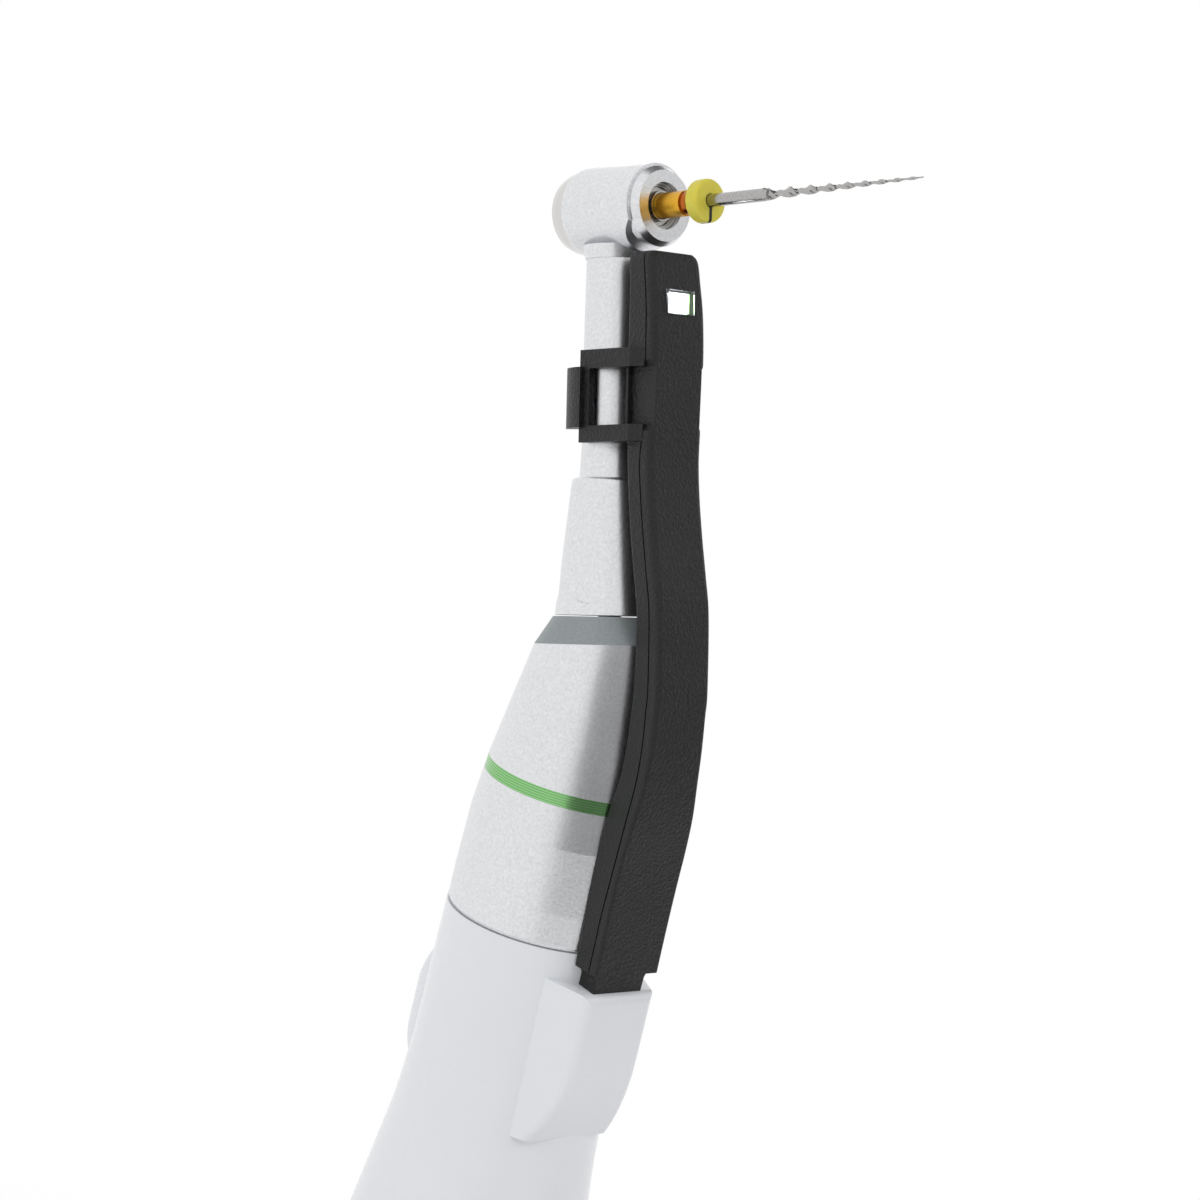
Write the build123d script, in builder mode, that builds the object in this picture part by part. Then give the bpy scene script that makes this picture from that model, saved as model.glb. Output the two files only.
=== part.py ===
# Cordless endodontic motor: a white battery handpiece and, plugged on its nose, a silver contra-angle
# with a black light bar, a small push-button head and a root canal file.
# Origin: centre of the flat foot. +Z runs up the motor's axis and +X is the side that the file points to.
import os
from math import acos, cos, degrees, pi, radians, sin, sqrt, tan

from build123d import *

os.makedirs("parts", exist_ok=True)

# Layout of the axes
joint_z = 132.0  # height of the joint between handpiece and contra-angle
bend_rise = 24.3  # from the joint up to the bend
neck_tilt = 17.5  # degrees that the neck leans back
head_rise = 39.7  # from the bend along the neck to the head's axis

# Clearances
run_play = 0.05  # radial, shafts in bores and the nose in the barrel
key_gap = 0.2  # round the keys
skin_gap = 0.2  # between the light bar and the metal beside it

# White handpiece
top_r = 9.15
waist_r = 9.25
waist_drop = 13.5
lip_gap = 0.1  # between the grip's lip and the barrel
grip_r = 13.3
grip_shift = 1.1  # how far the wide part of the grip sits back from the axis
foot_r = 11.6
shell_wall = 1.6
seam_x = -0.35
cap_height = 6.0
foot_round = 2.0

# Boss with the socket of the light bar
boss_front = 11.5
boss_half = 3.9
boss_root_half = 5.5
boss_drop = 3.0
boss_end_drop = 17.6
boss_round = 0.9
plug_back = 8.7
plug_front = 10.6
plug_half = 2.5
plug_length = 7.0
pin_r = 0.3
pin_pitch = 1.2

# Thumb button on the back
thumb_half = 4.0
thumb_top_drop = 4.6
thumb_end_drop = 20.2
thumb_reach = 12.0
thumb_base = 8.15
thumb_travel = 0.6
rib_count = 5
rib_pitch = 0.85
rib_r = 0.3

# Screen and keys
screen_z = 85.0
screen_x = -12.55
screen_slope = 5.4
screen_width = 9.0
screen_height = 24.0
window_depth = 1.5
panel_depth = 1.2
key_r = 2.4
key_half_pitch = 3.4
key_low_z = 51.0
key_high_z = 60.0
key_face = 14.7
key_flange = 10.9
key_travel = 0.5

# Inside the handpiece
battery_r = 8.0
battery_length = 49.0
battery_x = 0.5
battery_z = 10.5
spring_r = 3.0
spring_wire = 0.4
board_x = -8.9
board_depth = 1.0
board_half = 5.0
board_low = 44.0
board_high = 90.0
can_r = 6.6
can_top_drop = 12.0
can_length = 30.0
nose_r = 6.5
nose_height = 7.8
nose_flange_r = 7.5
nose_bore = 3.3
motor_shaft_r = 1.2
motor_bearing_z = 2.2
bearing_height = 1.8
groove_z = 5.6
cord_ring_r = 0.5
dog_low = 4.6
dog_top = 6.9
dog_r = 2.2
dog_width = 1.4

# Barrel, green ring and cone of the contra-angle
barrel_r = 9.07
barrel_top_r = 8.55
barrel_height = 12.5
green_height = 1.2
green_top_r = 8.42
seam_l = 1.3  # where the cone meets the grey collar, along the neck
seam_r = 6.62
web_low = 8.4
web_height = 2.4
input_seat_r = 3.6
ring_gear_outer = 7.35
ring_gear_height = 5.0

# Collar, sleeve and neck, along the neck from the bend
collar_top = 3.75
collar_top_r = 5.0
sleeve_low = 3.85
sleeve_top = 16.0
sleeve_low_r = 4.87
sleeve_mid_r = 4.05
sleeve_top_r = 3.55
sleeve_bore = 2.97
spigot_r = 4.3
flat_count = 5
flat_low = 4.9
flat_height = 6.2
neck_low = 6.2
neck_base_r = 2.95
neck_r = 2.83
neck_top_r = 2.75
neck_bore = 2.25
neck_top = 35.4

# Head, along its own axis from the neck's axis
head_front = 5.8
head_ring = 4.9
head_back = -3.3
head_r = 4.0
head_front_r = 3.8
face_r = 3.13
face_edge_r = 3.54
mouth_r = 2.07
head_bore = 3.0
cap_ring_back = -5.0
cap_r = 2.7
cap_back = -6.0
cap_travel = 0.8
chuck_r = 1.7
chuck_bore = 1.18
shank_r = 1.12

# File
shank_out = 2.7
band_length = 0.9
band_r = 1.05
stop_start = 10.0
stop_length = 1.4
stop_r = 1.9
wire_r = 0.57
flutes_start = 18.1
file_tip = 35.4
tip_r = 0.12
flute_turns = 6.5
flute_steps = 40

# Gears
gear_module = 0.35
sun_teeth = 12
planet_teeth = 12
planet_count = 3
gear_height = 3.4
gear_play = 0.14  # share of each tooth's width that is left as backlash
bend_teeth = 12
bend_outer = 4.1
bend_inner = 2.5
pinion_teeth = 8
crown_teeth = 16
crown_outer = 3.2
crown_inner = 2.05

# Light bar
bar_round = 1.0
bar_back_round = 0.3
wire_slot = 1.2
clip_low = 19.0
clip_top = 27.1
clip_window_low = 20.5
clip_window_top = 25.4
clip_arm_outer = 3.8
clip_arm_inner = 3.05
clip_back = -0.7
light_l = 31.1
light_half = 1.55
light_height = 2.1

# Reference planes: local z runs along each axis, away from the foot or out of the head's face
tilt = radians(neck_tilt)
joint = Plane.XY.offset(joint_z)
neck = Plane(
    origin=(0, 0, joint_z + bend_rise),
    x_dir=(cos(tilt), 0, sin(tilt)),
    z_dir=(-sin(tilt), 0, cos(tilt)),
)
head = Plane(
    origin=neck.from_local_coords((0, 0, head_rise)),
    x_dir=neck.z_dir,
    z_dir=neck.x_dir,
)


def axis_of(plane):
    """The turning axis of a reference plane."""
    return Axis(plane.origin, plane.z_dir)


def raised(plane, height):
    """The same plane moved along its own axis."""
    return plane.offset(height)


def lathe(plane):
    """The sketch plane through an axis: x is the radius, y runs along the axis."""
    return Plane(origin=plane.origin, x_dir=plane.x_dir, z_dir=-plane.y_dir)


def profile(plane, *outline):
    """A closed lathe profile of (radius, height) points about a plane's axis."""
    with BuildSketch(lathe(plane)) as cut:
        with BuildLine():
            Polyline(*outline, close=True)
        make_face()
    return cut.sketch


def band(plane, inner, outer, low, high):
    """The lathe profile of a plain ring."""
    return profile(plane, (inner, low), (outer, low), (outer, high), (inner, high))


# Body sections of the grip: height, radius and how far the centre sits back
grip_sections = (
    (0, foot_r - 0.4, 0.4),
    (cap_height, foot_r, 0.5),
    (22.0, 12.6, 0.9),
    (47.0, grip_r, grip_shift),
    (72.0, grip_r, grip_shift),
    (joint_z - 45, 12.6, 1.0),
    (joint_z - 36, 11.6, 0.8),
    (joint_z - 29.7, 10.75, 0.62),
    (joint_z - 24.4, 10.05, 0.46),
    (joint_z - 19, 9.48, 0.22),
    (joint_z - waist_drop - 1.5, waist_r + 0.08, 0.06),
    (joint_z - waist_drop, waist_r, 0),
)


def grip(inset):
    """The grip's round form, or its hollow when inset is the wall."""
    with BuildPart() as form:
        for height, radius, shift in grip_sections:
            with BuildSketch(Plane.XY.offset(height)):
                with Locations((-shift, 0)):
                    Circle(radius - inset)
        loft()
        revolve(
            profile(
                joint,
                (0, -waist_drop),
                (waist_r - inset, -waist_drop),
                (top_r - inset, -lip_gap),
                (0, -lip_gap),
            ),
            axis=axis_of(joint),
        )
    return form.part


grip_form = grip(0)
grip_hollow = grip(shell_wall)

# Boss that stands out at the front of the grip and holds the light bar's socket
with BuildPart() as boss:
    with BuildSketch(Plane.XZ):
        with BuildLine():
            Polyline(
                (4, joint_z - boss_end_drop),
                (4, joint_z - boss_drop + 0.6),
                (boss_front - 0.1, joint_z - boss_drop),
                (boss_front, joint_z - 8),
                (boss_front, joint_z - 10.5),
            )
            ThreePointArc(
                (boss_front, joint_z - 10.5),
                (boss_front - 0.75, joint_z - 14.2),
                (9.1, joint_z - boss_end_drop),
            )
            Line((9.1, joint_z - boss_end_drop), (4, joint_z - boss_end_drop))
        make_face()
    extrude(amount=7, both=True)
    with BuildSketch(Plane.XY.offset(joint_z - boss_end_drop)):
        Polygon(
            (4, -boss_root_half - 1.4),
            (7.6, -boss_root_half),
            (boss_front, -boss_half),
            (boss_front, boss_half),
            (7.6, boss_root_half),
            (4, boss_root_half + 1.4),
            align=None,
        )
    extrude(amount=boss_end_drop, mode=Mode.INTERSECT)
    fillet(boss.edges().filter_by(lambda e: e.center().X > 9.6), boss_round)

# Front half shell, with the boss and the socket for the light bar's plug
with BuildPart() as body_front_shell:
    add(grip_form)
    add(boss)
    add(grip_hollow, mode=Mode.SUBTRACT)
    with BuildSketch(Plane.XY.offset(joint_z - 2 - plug_length - 0.5)):
        with Locations(((plug_back + plug_front) / 2, 0)):
            Rectangle(plug_front - plug_back + 2 * run_play, 2 * (plug_half + run_play))
    extrude(amount=plug_length + 4, mode=Mode.SUBTRACT)
    split(bisect_by=Plane.XY.offset(cap_height), keep=Keep.TOP)
    split(bisect_by=Plane.YZ.offset(seam_x), keep=Keep.TOP)
body_front_shell.part.label = "body_front_shell"
export_step(body_front_shell.part, "parts/body_front_shell.step")

# Thumb button: a long pad with cross ribs that stands out of the back
thumb_mid_z = joint_z - (thumb_top_drop + thumb_end_drop) / 2


def thumb_plan(gap):
    """The pad's slot-shaped plan, looking along X."""
    with BuildSketch(Plane.YZ.offset(-thumb_reach - 1)) as plan:
        with Locations((0, thumb_mid_z)):
            SlotOverall(thumb_end_drop - thumb_top_drop + 2 * gap, 2 * (thumb_half + gap), rotation=90)
    return plan.sketch


# Sections of the pad outwards: reach from the axis, drop of its upper and lower end, half width
thumb_sections = (
    (thumb_base, thumb_top_drop, thumb_end_drop, thumb_half),
    (9.2, thumb_top_drop + 0.1, thumb_end_drop - 0.1, thumb_half - 0.05),
    (10.5, thumb_top_drop + 1.5, thumb_end_drop - 1.5, thumb_half - 0.4),
    (11.4, thumb_top_drop + 3.4, thumb_end_drop - 3.3, thumb_half - 1.1),
    (thumb_reach, thumb_top_drop + 5.4, thumb_end_drop - 5.4, thumb_half - 2.0),
)
with BuildPart() as start_button:
    for reach, top_drop, end_drop, half in thumb_sections:
        with BuildSketch(Plane.YZ.offset(-reach)):
            with Locations((0, joint_z - (top_drop + end_drop) / 2)):
                SlotOverall(end_drop - top_drop, 2 * half, rotation=90)
    loft()
    for rib in range(rib_count):
        with BuildSketch(Plane.XZ):
            with Locations((-10.35 - 0.24 * rib, joint_z - 6.3 - rib_pitch * rib)):
                Circle(rib_r)
        extrude(amount=1.7 + 0.12 * rib, both=True)
start_button.part.label = "start_button"
export_step(start_button.part, "parts/start_button.step")

# Back half shell, with the holes for the thumb button, the screen and the four keys
screen = Plane(
    origin=(screen_x, 0, screen_z),
    x_dir=(0, -1, 0),
    z_dir=(-cos(radians(screen_slope)), 0, sin(radians(screen_slope))),
)
key_places = [
    (across, height)
    for height in (key_low_z, key_high_z)
    for across in (-key_half_pitch, key_half_pitch)
]
with BuildPart() as body_back_shell:
    add(grip_form)
    with BuildSketch(screen):
        Rectangle(24, screen_height + 5)
    extrude(amount=5, mode=Mode.SUBTRACT)
    add(grip_hollow, mode=Mode.SUBTRACT)
    with BuildSketch(screen):
        RectangleRounded(screen_width, screen_height, 1.2)
    extrude(amount=-6, mode=Mode.SUBTRACT)
    extrude(thumb_plan(key_gap), amount=thumb_reach - 4, mode=Mode.SUBTRACT)
    with BuildSketch(Plane.YZ.offset(-key_face - 1)):
        with Locations(*key_places):
            Circle(key_r + key_gap)
    extrude(amount=key_face - 8, mode=Mode.SUBTRACT)
    split(bisect_by=Plane.XY.offset(cap_height), keep=Keep.TOP)
    split(bisect_by=Plane.YZ.offset(seam_x), keep=Keep.BOTTOM)
body_back_shell.part.label = "body_back_shell"
export_step(body_back_shell.part, "parts/body_back_shell.step")

# End cap with the flat foot
with BuildPart() as bottom_cap:
    add(grip_form)
    split(bisect_by=Plane.XY.offset(cap_height), keep=Keep.BOTTOM)
    fillet(bottom_cap.edges().group_by(Axis.Z)[0], foot_round)
    with BuildSketch(Plane.XY.offset(cap_height)):
        with Locations((battery_x, 0)):
            Circle(battery_r)
    extrude(amount=-2.2, mode=Mode.SUBTRACT)
    with BuildSketch(Plane.XY):
        with Locations((0, -4), (0, 4)):
            Circle(1.5)
    extrude(amount=1.0, mode=Mode.SUBTRACT)
bottom_cap.part.label = "bottom_cap"
export_step(bottom_cap.part, "parts/bottom_cap.step")

# Gold-plated charging contacts, set back in the foot
with BuildPart() as charge_contacts:
    with BuildSketch(Plane.XY.offset(0.3)):
        with Locations((0, -4), (0, 4)):
            Circle(1.5)
    extrude(amount=0.7)
charge_contacts.part.label = "charge_contacts"
export_step(charge_contacts.part, "parts/charge_contacts.step")

# Screen: a clear window, flush in the back shell, over the display panel
with BuildPart() as display_window:
    with BuildSketch(screen):
        RectangleRounded(screen_width, screen_height, 1.2)
    extrude(amount=-window_depth)
display_window.part.label = "display_window"
export_step(display_window.part, "parts/display_window.step")

with BuildPart() as display_panel:
    with BuildSketch(raised(screen, -window_depth)):
        Rectangle(screen_width - 0.6, screen_height - 1.2)
    extrude(amount=-panel_depth)
display_panel.part.label = "display_panel"
export_step(display_panel.part, "parts/display_panel.step")

# Keys: round caps with a crowned face and an inner flange that keeps them in the shell
key_names = ("set_key", "mode_key", "minus_key", "plus_key")
for key_name, (across, height) in zip(key_names, key_places):
    with BuildPart() as key:
        with BuildSketch(Plane.YZ.offset(-key_face)):
            with Locations((across, height)):
                Circle(key_r)
        extrude(amount=key_face - key_flange)
        fillet(key.edges().sort_by(Axis.X)[0], 0.5)
        with BuildSketch(Plane.YZ.offset(-key_flange)):
            with Locations((across, height)):
                Circle(key_r + 0.35)
        extrude(amount=0.4)
        with BuildSketch(Plane.YZ.offset(-key_flange + 0.4)):
            with Locations((across, height)):
                Circle(0.8)
        extrude(amount=0.1)
    key.part.label = key_name
    export_step(key.part, f"parts/{key_name}.step")

# Circuit board behind the screen and keys, and the tact switches on it
with BuildPart() as main_board:
    with BuildSketch(Plane.YZ.offset(board_x)):
        with Locations((0, (board_low + board_high) / 2)):
            Rectangle(2 * board_half, board_high - board_low)
    extrude(amount=board_depth)
main_board.part.label = "main_board"
export_step(main_board.part, "parts/main_board.step")

with BuildPart() as key_switches:
    with BuildSketch(Plane.YZ.offset(board_x)):
        with Locations(*key_places):
            Rectangle(2.6, 2.6)
    extrude(amount=-0.9)
key_switches.part.label = "key_switches"
export_step(key_switches.part, "parts/key_switches.step")

# Rechargeable cell and the springs at its ends
with BuildPart() as battery:
    with BuildSketch(Plane.XY.offset(battery_z)):
        with Locations((battery_x, 0)):
            Circle(battery_r)
    extrude(amount=battery_length)
    fillet(battery.edges().filter_by(GeomType.CIRCLE), 0.6)
    with BuildSketch(Plane.XY.offset(battery_z + battery_length)):
        with Locations((battery_x, 0)):
            Circle(2.6)
    extrude(amount=0.7)
battery.part.label = "battery"
export_step(battery.part, "parts/battery.step")

spring_space = battery_z - cap_height + 2.2
with BuildPart() as battery_spring:
    with BuildSketch(Plane.XY.offset(cap_height - 2.2)):
        with Locations((battery_x, 0)):
            Circle(spring_r + spring_wire)
            Circle(spring_r - spring_wire, mode=Mode.SUBTRACT)
    extrude(amount=spring_space)
battery_spring.part.label = "battery_spring"
export_step(battery_spring.part, "parts/battery_spring.step")

# Motor can, hung from the nose
with BuildPart() as motor_can:
    revolve(
        profile(
            joint,
            (motor_shaft_r + run_play, -can_top_drop),
            (can_r, -can_top_drop),
            (can_r, -can_top_drop - can_length),
            (0, -can_top_drop - can_length),
            (0, -can_top_drop - can_length + 1),
            (can_r - 0.8, -can_top_drop - can_length + 1),
            (can_r - 0.8, -can_top_drop - 1),
            (motor_shaft_r + run_play, -can_top_drop - 1),
        ),
        axis=axis_of(joint),
    )
motor_can.part.label = "motor_can"
export_step(motor_can.part, "parts/motor_can.step")

# Nose: the steel spigot that the contra-angle slides on, with a groove for its rubber ring
with BuildPart() as motor_nose:
    revolve(
        profile(
            joint,
            (motor_shaft_r + 0.5, -can_top_drop),
            (nose_flange_r, -can_top_drop),
            (nose_flange_r, -0.2),
            (nose_r, -0.2),
            (nose_r, groove_z - cord_ring_r),
            (nose_r - 0.7, groove_z - cord_ring_r),
            (nose_r - 0.7, groove_z + cord_ring_r),
            (nose_r, groove_z + cord_ring_r),
            (nose_r, nose_height - 0.5),
            (nose_r - 0.5, nose_height),
            (nose_bore, nose_height),
            (nose_bore, motor_bearing_z),
            (motor_shaft_r + 0.5, motor_bearing_z),
        ),
        axis=axis_of(joint),
    )
motor_nose.part.label = "motor_nose"
export_step(motor_nose.part, "parts/motor_nose.step")

with BuildPart() as nose_ring:
    revolve(
        band(joint, nose_r - 0.7, nose_r, groove_z - cord_ring_r, groove_z + cord_ring_r),
        axis=axis_of(joint),
    )
nose_ring.part.label = "nose_ring"
export_step(nose_ring.part, "parts/nose_ring.step")


def bearing(plane, shaft, seat, low, height):
    """A shielded ball bearing: two races with a recessed shield between them."""
    step = (seat - shaft) * 0.28
    with BuildPart() as races:
        revolve(
            profile(
                plane,
                (shaft, low),
                (shaft + step, low),
                (shaft + step, low + 0.2),
                (seat - step, low + 0.2),
                (seat - step, low),
                (seat, low),
                (seat, low + height),
                (seat - step, low + height),
                (seat - step, low + height - 0.2),
                (shaft + step, low + height - 0.2),
                (shaft + step, low + height),
                (shaft, low + height),
            ),
            axis=axis_of(plane),
        )
    return races.part


with BuildPart() as nose_bearing:
    add(bearing(joint, motor_shaft_r + run_play, nose_bore, motor_bearing_z, bearing_height))
nose_bearing.part.label = "nose_bearing"
export_step(nose_bearing.part, "parts/nose_bearing.step")

# Rotor: magnet, shaft and the driving dog
with BuildPart() as rotor_magnet:
    revolve(
        band(joint, motor_shaft_r, can_r - 1.6, -can_top_drop - can_length + 3, -can_top_drop - 3),
        axis=axis_of(joint),
    )
rotor_magnet.part.label = "rotor_magnet"
export_step(rotor_magnet.part, "parts/rotor_magnet.step")

with BuildPart() as motor_shaft:
    revolve(
        band(joint, 0, motor_shaft_r, -can_top_drop - can_length + 1.5, dog_low),
        axis=axis_of(joint),
    )
motor_shaft.part.label = "motor_shaft"
export_step(motor_shaft.part, "parts/motor_shaft.step")

with BuildPart() as drive_dog:
    with BuildSketch(raised(joint, dog_low)):
        Circle(dog_r)
    extrude(amount=(dog_top - dog_low) / 2)
    with BuildSketch(raised(joint, (dog_low + dog_top) / 2)):
        Rectangle(2 * dog_r - 0.4, dog_width)
    extrude(amount=(dog_top - dog_low) / 2)
drive_dog.part.label = "drive_dog"
export_step(drive_dog.part, "parts/drive_dog.step")

# Contact pins in the foot of the light bar's socket
socket_floor = joint_z - 2 - plug_length - 0.5
plug_mid = (plug_back + plug_front) / 2
with BuildPart() as socket_contacts:
    with BuildSketch(Plane.XY.offset(socket_floor)):
        with Locations((plug_mid, -pin_pitch), (plug_mid, 0), (plug_mid, pin_pitch)):
            Circle(pin_r)
    extrude(amount=0.45)
socket_contacts.part.label = "socket_contacts"
export_step(socket_contacts.part, "parts/socket_contacts.step")

# Switch under the thumb button, on the motor can
with BuildPart() as start_switch:
    with BuildSketch(Plane.YZ.offset(-can_r)):
        with Locations((0, thumb_mid_z - 3)):
            Rectangle(3, 3)
    extrude(amount=-0.7)
start_switch.part.label = "start_switch"
export_step(start_switch.part, "parts/start_switch.step")

# Barrel: turned metal skirt over the nose, with a web that carries the input bearing
web_top = web_low + web_height
with BuildPart() as barrel:
    revolve(
        profile(
            joint,
            (nose_r + run_play, 0),
            (barrel_r - 0.1, 0),
            (barrel_r, 0.3),
            (barrel_r, 3.1),
            (8.99, 6),
            (8.91, 8.9),
            (barrel_top_r, barrel_height),
            (ring_gear_outer, barrel_height),
            (ring_gear_outer, web_top),
            (input_seat_r, web_top),
            (input_seat_r, web_low),
            (nose_r + run_play, web_low),
        ),
        axis=axis_of(joint),
    )
barrel.part.label = "barrel"
export_step(barrel.part, "parts/barrel.step")

# Green anodised ring, clamped between barrel and cone
green_top = barrel_height + green_height
with BuildPart() as green_ring:
    revolve(
        profile(
            joint,
            (ring_gear_outer, barrel_height),
            (barrel_top_r - 0.03, barrel_height),
            (green_top_r, green_top),
            (ring_gear_outer, green_top),
        ),
        axis=axis_of(joint),
    )
green_ring.part.label = "green_ring"
export_step(green_ring.part, "parts/green_ring.step")


def gear_tooth(pitch_r, teeth, play):
    """Half angle of an involute tooth at any radius, thinned by the play."""
    pressure = radians(22)
    base_r = pitch_r * cos(pressure)
    pitch_half = pi / (2 * teeth) * (1 - play)

    def half_angle(radius):
        at = acos(min(1.0, base_r / radius))
        return pitch_half + (tan(pressure) - pressure) - (tan(at) - at)

    return half_angle


def gear_outline(teeth, addendum, dedendum, play, turned=0.0):
    """Outline of a spur gear as straight runs through the involute's points."""
    pitch_r = gear_module * teeth / 2
    half_angle = gear_tooth(pitch_r, teeth, play)
    radii = (pitch_r - dedendum, pitch_r - dedendum / 2, pitch_r, pitch_r + addendum / 2, pitch_r + addendum)
    points = []
    for tooth in range(teeth):
        middle = radians(turned) + 2 * pi * tooth / teeth
        for radius in radii:
            turn = middle - half_angle(radius)
            points.append((radius * cos(turn), radius * sin(turn)))
        for radius in reversed(radii):
            turn = middle + half_angle(radius)
            points.append((radius * cos(turn), radius * sin(turn)))
    return points


sun_pitch_r = gear_module * sun_teeth / 2
planet_pitch_r = gear_module * planet_teeth / 2
ring_teeth = sun_teeth + 2 * planet_teeth
orbit_r = sun_pitch_r + planet_pitch_r
gear_low = web_top + 0.5
gear_top = gear_low + gear_height
addendum = 0.85 * gear_module
dedendum = 1.15 * gear_module
tooth_pitch = 360 / planet_teeth

# Ring gear, fixed in the barrel and the cone
with BuildPart() as ring_gear:
    with BuildSketch(raised(joint, web_top)):
        Circle(ring_gear_outer)
        Polygon(
            *gear_outline(ring_teeth, dedendum, addendum, -gear_play, 180 / ring_teeth),
            align=None,
            mode=Mode.SUBTRACT,
        )
    extrude(amount=ring_gear_height)
ring_gear.part.label = "ring_gear"
export_step(ring_gear.part, "parts/ring_gear.step")

# Input shaft with the socket for the dog at its foot and the sun gear at its top
input_r = 1.7
with BuildPart() as input_shaft:
    with BuildSketch(raised(joint, (dog_low + dog_top) / 2 + 0.1)):
        Circle(dog_r + 0.7)
    extrude(amount=web_low - (dog_low + dog_top) / 2 - 0.3)
    with BuildSketch(raised(joint, (dog_low + dog_top) / 2 + 0.1)):
        Rectangle(2 * dog_r - 0.2, dog_width + 0.2)
    extrude(amount=(dog_top - dog_low) / 2, mode=Mode.SUBTRACT)
    with BuildSketch(raised(joint, web_low - 0.2)):
        Circle(input_r)
    extrude(amount=web_height + 0.4)
    with BuildSketch(raised(joint, gear_low)):
        Polygon(*gear_outline(sun_teeth, addendum, dedendum, gear_play), align=None)
    extrude(amount=gear_height)
    with BuildSketch(raised(joint, web_low + web_height + 0.1)):
        Circle(sun_pitch_r - dedendum)
    extrude(amount=gear_low - web_top)
input_shaft.part.label = "input_shaft"
export_step(input_shaft.part, "parts/input_shaft.step")

with BuildPart() as input_bearing:
    add(bearing(joint, input_r + run_play, input_seat_r, web_low, web_height))
input_bearing.part.label = "input_bearing"
export_step(input_bearing.part, "parts/input_bearing.step")

# Planet gears on the carrier's pins
planet_pin_r = 0.6
for planet in range(planet_count):
    turn = 2 * pi * planet / planet_count
    place = (orbit_r * cos(turn), orbit_r * sin(turn))
    with BuildPart() as planet_gear:
        with BuildSketch(raised(joint, gear_low)):
            with Locations(place):
                Polygon(
                    *gear_outline(planet_teeth, addendum, dedendum, gear_play, degrees(turn) + tooth_pitch / 2),
                    align=None,
                )
                Circle(planet_pin_r + run_play, mode=Mode.SUBTRACT)
        extrude(amount=gear_height - 0.1)
    planet_gear.part.label = f"planet_gear_{planet + 1}"
    export_step(planet_gear.part, f"parts/planet_gear_{planet + 1}.step")


def cone_tooth(plane, cone_angle, outer, inner, tip_half, root_half, above, below):
    """One straight tooth of a bevel gear whose cone has its point at the plane's origin.

    The gear lies on the negative side of the plane's axis and the tooth at its local +x."""
    along = radians(cone_angle)
    run = plane.x_dir * sin(along) - plane.z_dir * cos(along)
    sections = []
    for reach in (outer, inner):
        scale = reach / outer
        place = Plane(origin=plane.origin + run * reach, x_dir=plane.y_dir, z_dir=run)
        with BuildSketch(place) as cut:
            Polygon(
                (-root_half * scale, -below * scale),
                (root_half * scale, -below * scale),
                (tip_half * scale, above * scale),
                (-tip_half * scale, above * scale),
                align=None,
            )
        sections.append(cut.sketch)
    with BuildPart() as tooth:
        loft(sections, ruled=True)
    return tooth.part


def turned_about(shape, plane, angle):
    """A copy of a shape, turned about a plane's axis."""
    return shape.rotate(axis_of(plane), angle)


# Bend gears: two equal, almost flat bevel gears whose cones meet on the inner side of the bend
bend_cone = 90 - neck_tilt / 2
bend_slope = tan(radians(neck_tilt / 2))
bend_above = 0.42
bend_below = 0.62
bend_tip_half = 0.2
bend_root_half = 0.68
below_bend = Plane(origin=neck.origin, x_dir=(1, 0, 0), z_dir=(0, 0, 1))
above_bend = Plane(origin=neck.origin, x_dir=neck.x_dir, z_dir=-neck.z_dir)


def bend_gear_teeth(plane, first_angle):
    """The teeth of one bend gear as separate shapes."""
    tooth = cone_tooth(
        plane, bend_cone, bend_outer, bend_inner, bend_tip_half, bend_root_half, bend_above, bend_below
    )
    return [
        turned_about(tooth, plane, first_angle + number * 360 / bend_teeth) for number in range(bend_teeth)
    ]


def bend_disc(plane, depth):
    """The gear's disc, whose face follows the root cone."""
    root = bend_below * 0.97
    return profile(
        plane,
        (0, -root * 0.7),
        (bend_inner, -root * bend_inner / bend_outer - bend_inner * bend_slope),
        (bend_outer, -root - bend_outer * bend_slope),
        (bend_outer, -depth),
        (0, -depth),
    )


# Carrier: plate, three pins, the shaft through its bearing and the lower bend gear
plate_low = gear_top + 0.15
plate_top = plate_low + 1.5
carrier_shaft_r = 1.8
carrier_seat_r = 4.0
carrier_seat_low = plate_top + 0.5
with BuildPart() as planet_carrier:
    with BuildSketch(raised(joint, plate_low)):
        Circle(orbit_r + 1.0)
    extrude(amount=plate_top - plate_low)
    with BuildSketch(raised(joint, gear_low)):
        with PolarLocations(orbit_r, planet_count):
            Circle(planet_pin_r)
    extrude(amount=plate_low - gear_low)
    with BuildSketch(raised(joint, plate_top)):
        Circle(carrier_shaft_r)
    extrude(amount=bend_rise - plate_top - 1.8)
    revolve(bend_disc(below_bend, 2.4), axis=axis_of(below_bend))
    add(bend_gear_teeth(below_bend, 0))
planet_carrier.part.label = "planet_carrier"
export_step(planet_carrier.part, "parts/planet_carrier.step")

with BuildPart() as carrier_bearing:
    add(bearing(joint, carrier_shaft_r + run_play, carrier_seat_r, carrier_seat_low, bearing_height))
carrier_bearing.part.label = "carrier_bearing"
export_step(carrier_bearing.part, "parts/carrier_bearing.step")


def cone_form(gap):
    """The cone's outside: from the green ring's circle to the tilted circle at the collar."""
    with BuildPart() as form:
        with BuildSketch(raised(joint, green_top)):
            Circle(green_top_r + gap)
        with BuildSketch(raised(neck, seam_l)):
            Circle(seam_r + gap)
        loft(ruled=True)
    return form.part


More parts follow.
